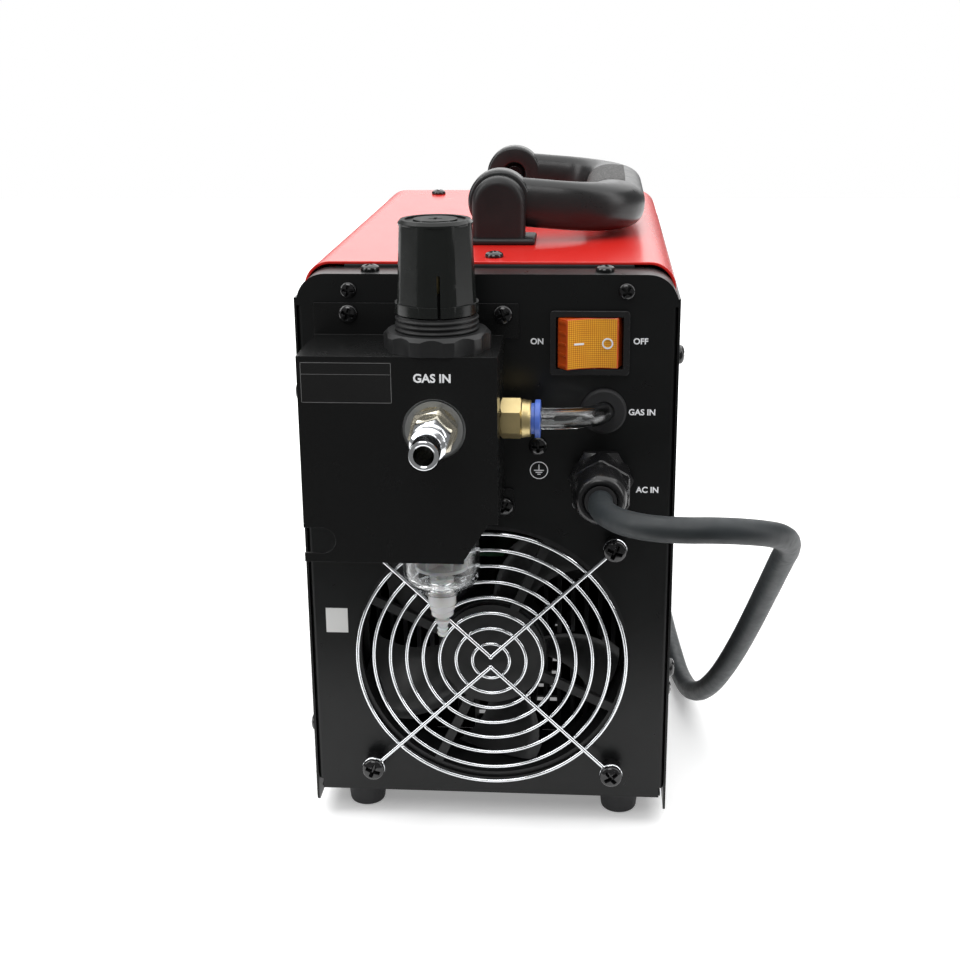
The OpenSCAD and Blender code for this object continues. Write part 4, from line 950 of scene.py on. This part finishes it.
def make_front_details():
    """Display, two signal lamps and the printed rings round the output sockets."""
    bm = bmesh.new()
    add_block(bm, (-27, 270.4, 196), (27, 272.2, 224), UNIT, 0.9, 3)
    finish_mesh("display_frame", bm, GLOSS, "case")
    bm = bmesh.new()
    add_block(bm, (-22, 271.9, 201), (22, 272.5, 219), UNIT, 0.3)
    finish_mesh("display_glass", bm, DISPLAY, "case")
    lens = [(0, 2.4), (1.4, 2.1), (2.2, 1.3), (2.5, 0), (2.5, -0.5), (0, -0.5)]
    for name, mat, z in (("power_lens", GREEN_LED, 216), ("warning_lens", AMBER_LED, 204)):
        bm = bmesh.new()
        add_lathe(bm, lens, axis_matrix(at(-46, FRONT_Y, z), (0, 1, 0)), 32, closed=False)
        finish_mesh(name, bm, mat, "case")
    bm = bmesh.new()
    for x in (-38, 38):
        for i in range(36):
            turn = Matrix.Translation(at(x, FRONT_Y, 62)) @ Matrix.Rotation(rad(10 * i), 4, "Y")
            add_block(bm, (-1.0, 0, 25.0), (1.0, 0.08, 25.5), turn)
    finish_mesh("socket_rings", bm, INK, "case")


make_front_details()


# ---------- printed marks ----------

def make_marks():
    """Generic legends of the rear side, and the earth symbol."""
    for name, text, size, where in (
            ("legend_on", "ON", 3.4, (20.9, -0.02, 220.6)), ("legend_off", "OFF", 3.4, (62.8, -0.02, 220.9)),
            ("legend_gas", "GAS IN", 3.5, (64.0, -0.02, 191.3)),
            ("legend_gas_plate", "GAS IN", 4.65, (-17.6, -41.62, 214.8)),
            ("legend_mains", "AC IN", 3.5, (67.0, -0.02, 157.9))):
        words(name, text, size, at(*where), (0, -1, 0), (0, 0, 1))
    earth = at(21.8, 0, 165.9)
    shift = Matrix.Translation(earth)
    bm = bmesh.new()
    add_lathe(bm, [(3.45, 0.06), (3.8, 0.06), (3.8, -0.02), (3.45, -0.02)],
              axis_matrix(earth, (0, -1, 0)), 64)
    for half, z, t in ((0.2, 1.25, 1.25), (2.1, 0.0, 0.2), (1.4, -0.85, 0.2), (0.7, -1.7, 0.2)):
        add_block(bm, (-half, -0.06, z - t), (half, 0.02, z + t), shift)
    finish_mesh("earth_mark", bm, INK, "case", weighted=False)


def make_blank_label():
    """Plain black film label with thin rules, and a blank pale sticker."""
    shift = Matrix.Translation(at(0, -41.6, 0))
    bm = bmesh.new()
    add_block(bm, (-69.0, -0.12, 204.6), (-33.0, 0.02, 221.3), shift, 0.05)
    finish_mesh("blank_label", bm, LABEL, "case")
    bm = bmesh.new()
    for lo, hi in (((-68.6, 220.7), (-33.4, 220.9)), ((-68.6, 205.0), (-33.4, 205.2)),
                   ((-68.6, 205.0), (-68.4, 220.9)), ((-33.6, 205.0), (-33.4, 220.9)),
                   ((-68.6, 216.2), (-33.4, 216.35))):
        add_block(bm, (lo[0], -0.16, lo[1]), (hi[0], -0.1, hi[1]), shift)
    finish_mesh("label_lines", bm, RULE, "case", weighted=False)
    bm = bmesh.new()
    add_block(bm, (-70.9, -0.12, 90.5), (-61.3, 0.02, 101.9), UNIT, 0.05)
    finish_mesh("blank_sticker", bm, PAPER, "case")


def make_rocker_marks():
    """Plain bar and ring, the usual switch symbols, on the two halves of the rocker."""
    slope = math.atan2(2.35, ROCKER_HALF)
    bm = bmesh.new()
    left = ROCKER @ Matrix.Translation((-5.2 * MM, -5.15 * MM, 0)) @ Matrix.Rotation(slope, 4, "Z")
    add_block(bm, (-2.1, -0.12, -0.4), (2.1, 0.3, 0.4), left, 0.05)
    right = ROCKER @ Matrix.Translation((6.4 * MM, -5.4 * MM, 0)) @ Matrix.Rotation(-slope, 4, "Z")
    add_lathe(bm, [(1.65, 0.3), (2.25, 0.3), (2.25, -0.3), (1.65, -0.3)],
              right @ axis_matrix((0, 0, 0), (0, -1, 0)), 48)
    finish_mesh("rocker_marks", bm, INK, "rocker")


make_marks()
make_blank_label()
make_rocker_marks()


# ---------- stage ----------

def make_stage():
    """Pale floor, soft lights and a room that the camera sees as white."""
    half_wide, near, far, level = 3, -0.27, 2.2, -0.0002
    bm = bmesh.new()
    for x, y in ((-half_wide, near), (half_wide, near), (half_wide, far), (-half_wide, far)):
        bm.verts.new((x, y, level))
    bm.verts.ensure_lookup_table()
    bm.faces.new(bm.verts)
    me = bpy.data.meshes.new("studio_floor")
    bm.to_mesh(me)
    bm.free()
    floor = bpy.data.objects.new("studio_floor", me)
    bpy.context.scene.collection.objects.link(floor)
    pale = material("pale_floor", (0.90, 0.90, 0.90), 0.85, spec=0.1, bump=0.0, tint=0.01)
    shader = pale.node_tree.nodes["Principled BSDF"]
    shader.inputs["Emission Color"].default_value = (1, 1, 1, 1)
    shader.inputs["Emission Strength"].default_value = 0.28
    me.materials.append(pale)

    def area(name, where, aim, size, power, size_y=None):
        data = bpy.data.lights.new(name, "AREA")
        data.shape = "RECTANGLE"
        data.size = size
        data.size_y = size_y or size
        data.energy = power
        o = bpy.data.objects.new(name, data)
        o.location = where
        o.rotation_euler = (Vector(aim) - Vector(where)).to_track_quat("-Z", "Y").to_euler()
        bpy.context.scene.collection.objects.link(o)

    area("overhead", (0, 0.7, 2.0), (0, 0.6, 0), 4.4, 112, 4.0)
    area("left_soft", (-1.3, -0.5, 0.95), (0, -0.05, 0.12), 0.5, 8, 1.2)
    area("right_soft", (1.5, -0.4, 0.8), (0, 0, 0.12), 0.5, 7, 1.2)
    area("rear_fill", (0.1, 2.2, 0.9), (0, 0, 0.15), 2.4, 11, 1.0)
    area("front_key", (-0.25, -1.5, 1.5), (0, -0.1, 0.15), 0.9, 9, 0.7)
    world = bpy.data.worlds.new("studio")
    world.use_nodes = True
    nodes, links = world.node_tree.nodes, world.node_tree.links
    room = nodes["Background"]
    room.inputs["Color"].default_value = (1, 1, 1, 1)
    room.inputs["Strength"].default_value = 0.22
    backdrop = nodes.new("ShaderNodeBackground")
    backdrop.inputs["Color"].default_value = (1, 1, 1, 1)
    backdrop.inputs["Strength"].default_value = 1.0
    path = nodes.new("ShaderNodeLightPath")
    mix = nodes.new("ShaderNodeMixShader")
    links.new(path.outputs["Is Camera Ray"], mix.inputs[0])
    links.new(room.outputs[0], mix.inputs[1])
    links.new(backdrop.outputs[0], mix.inputs[2])
    links.new(mix.outputs[0], nodes["World Output"].inputs["Surface"])
    bpy.context.scene.world = world
    bpy.context.scene.view_settings.view_transform = "Standard"


make_stage()

bpy.context.view_layer.update()
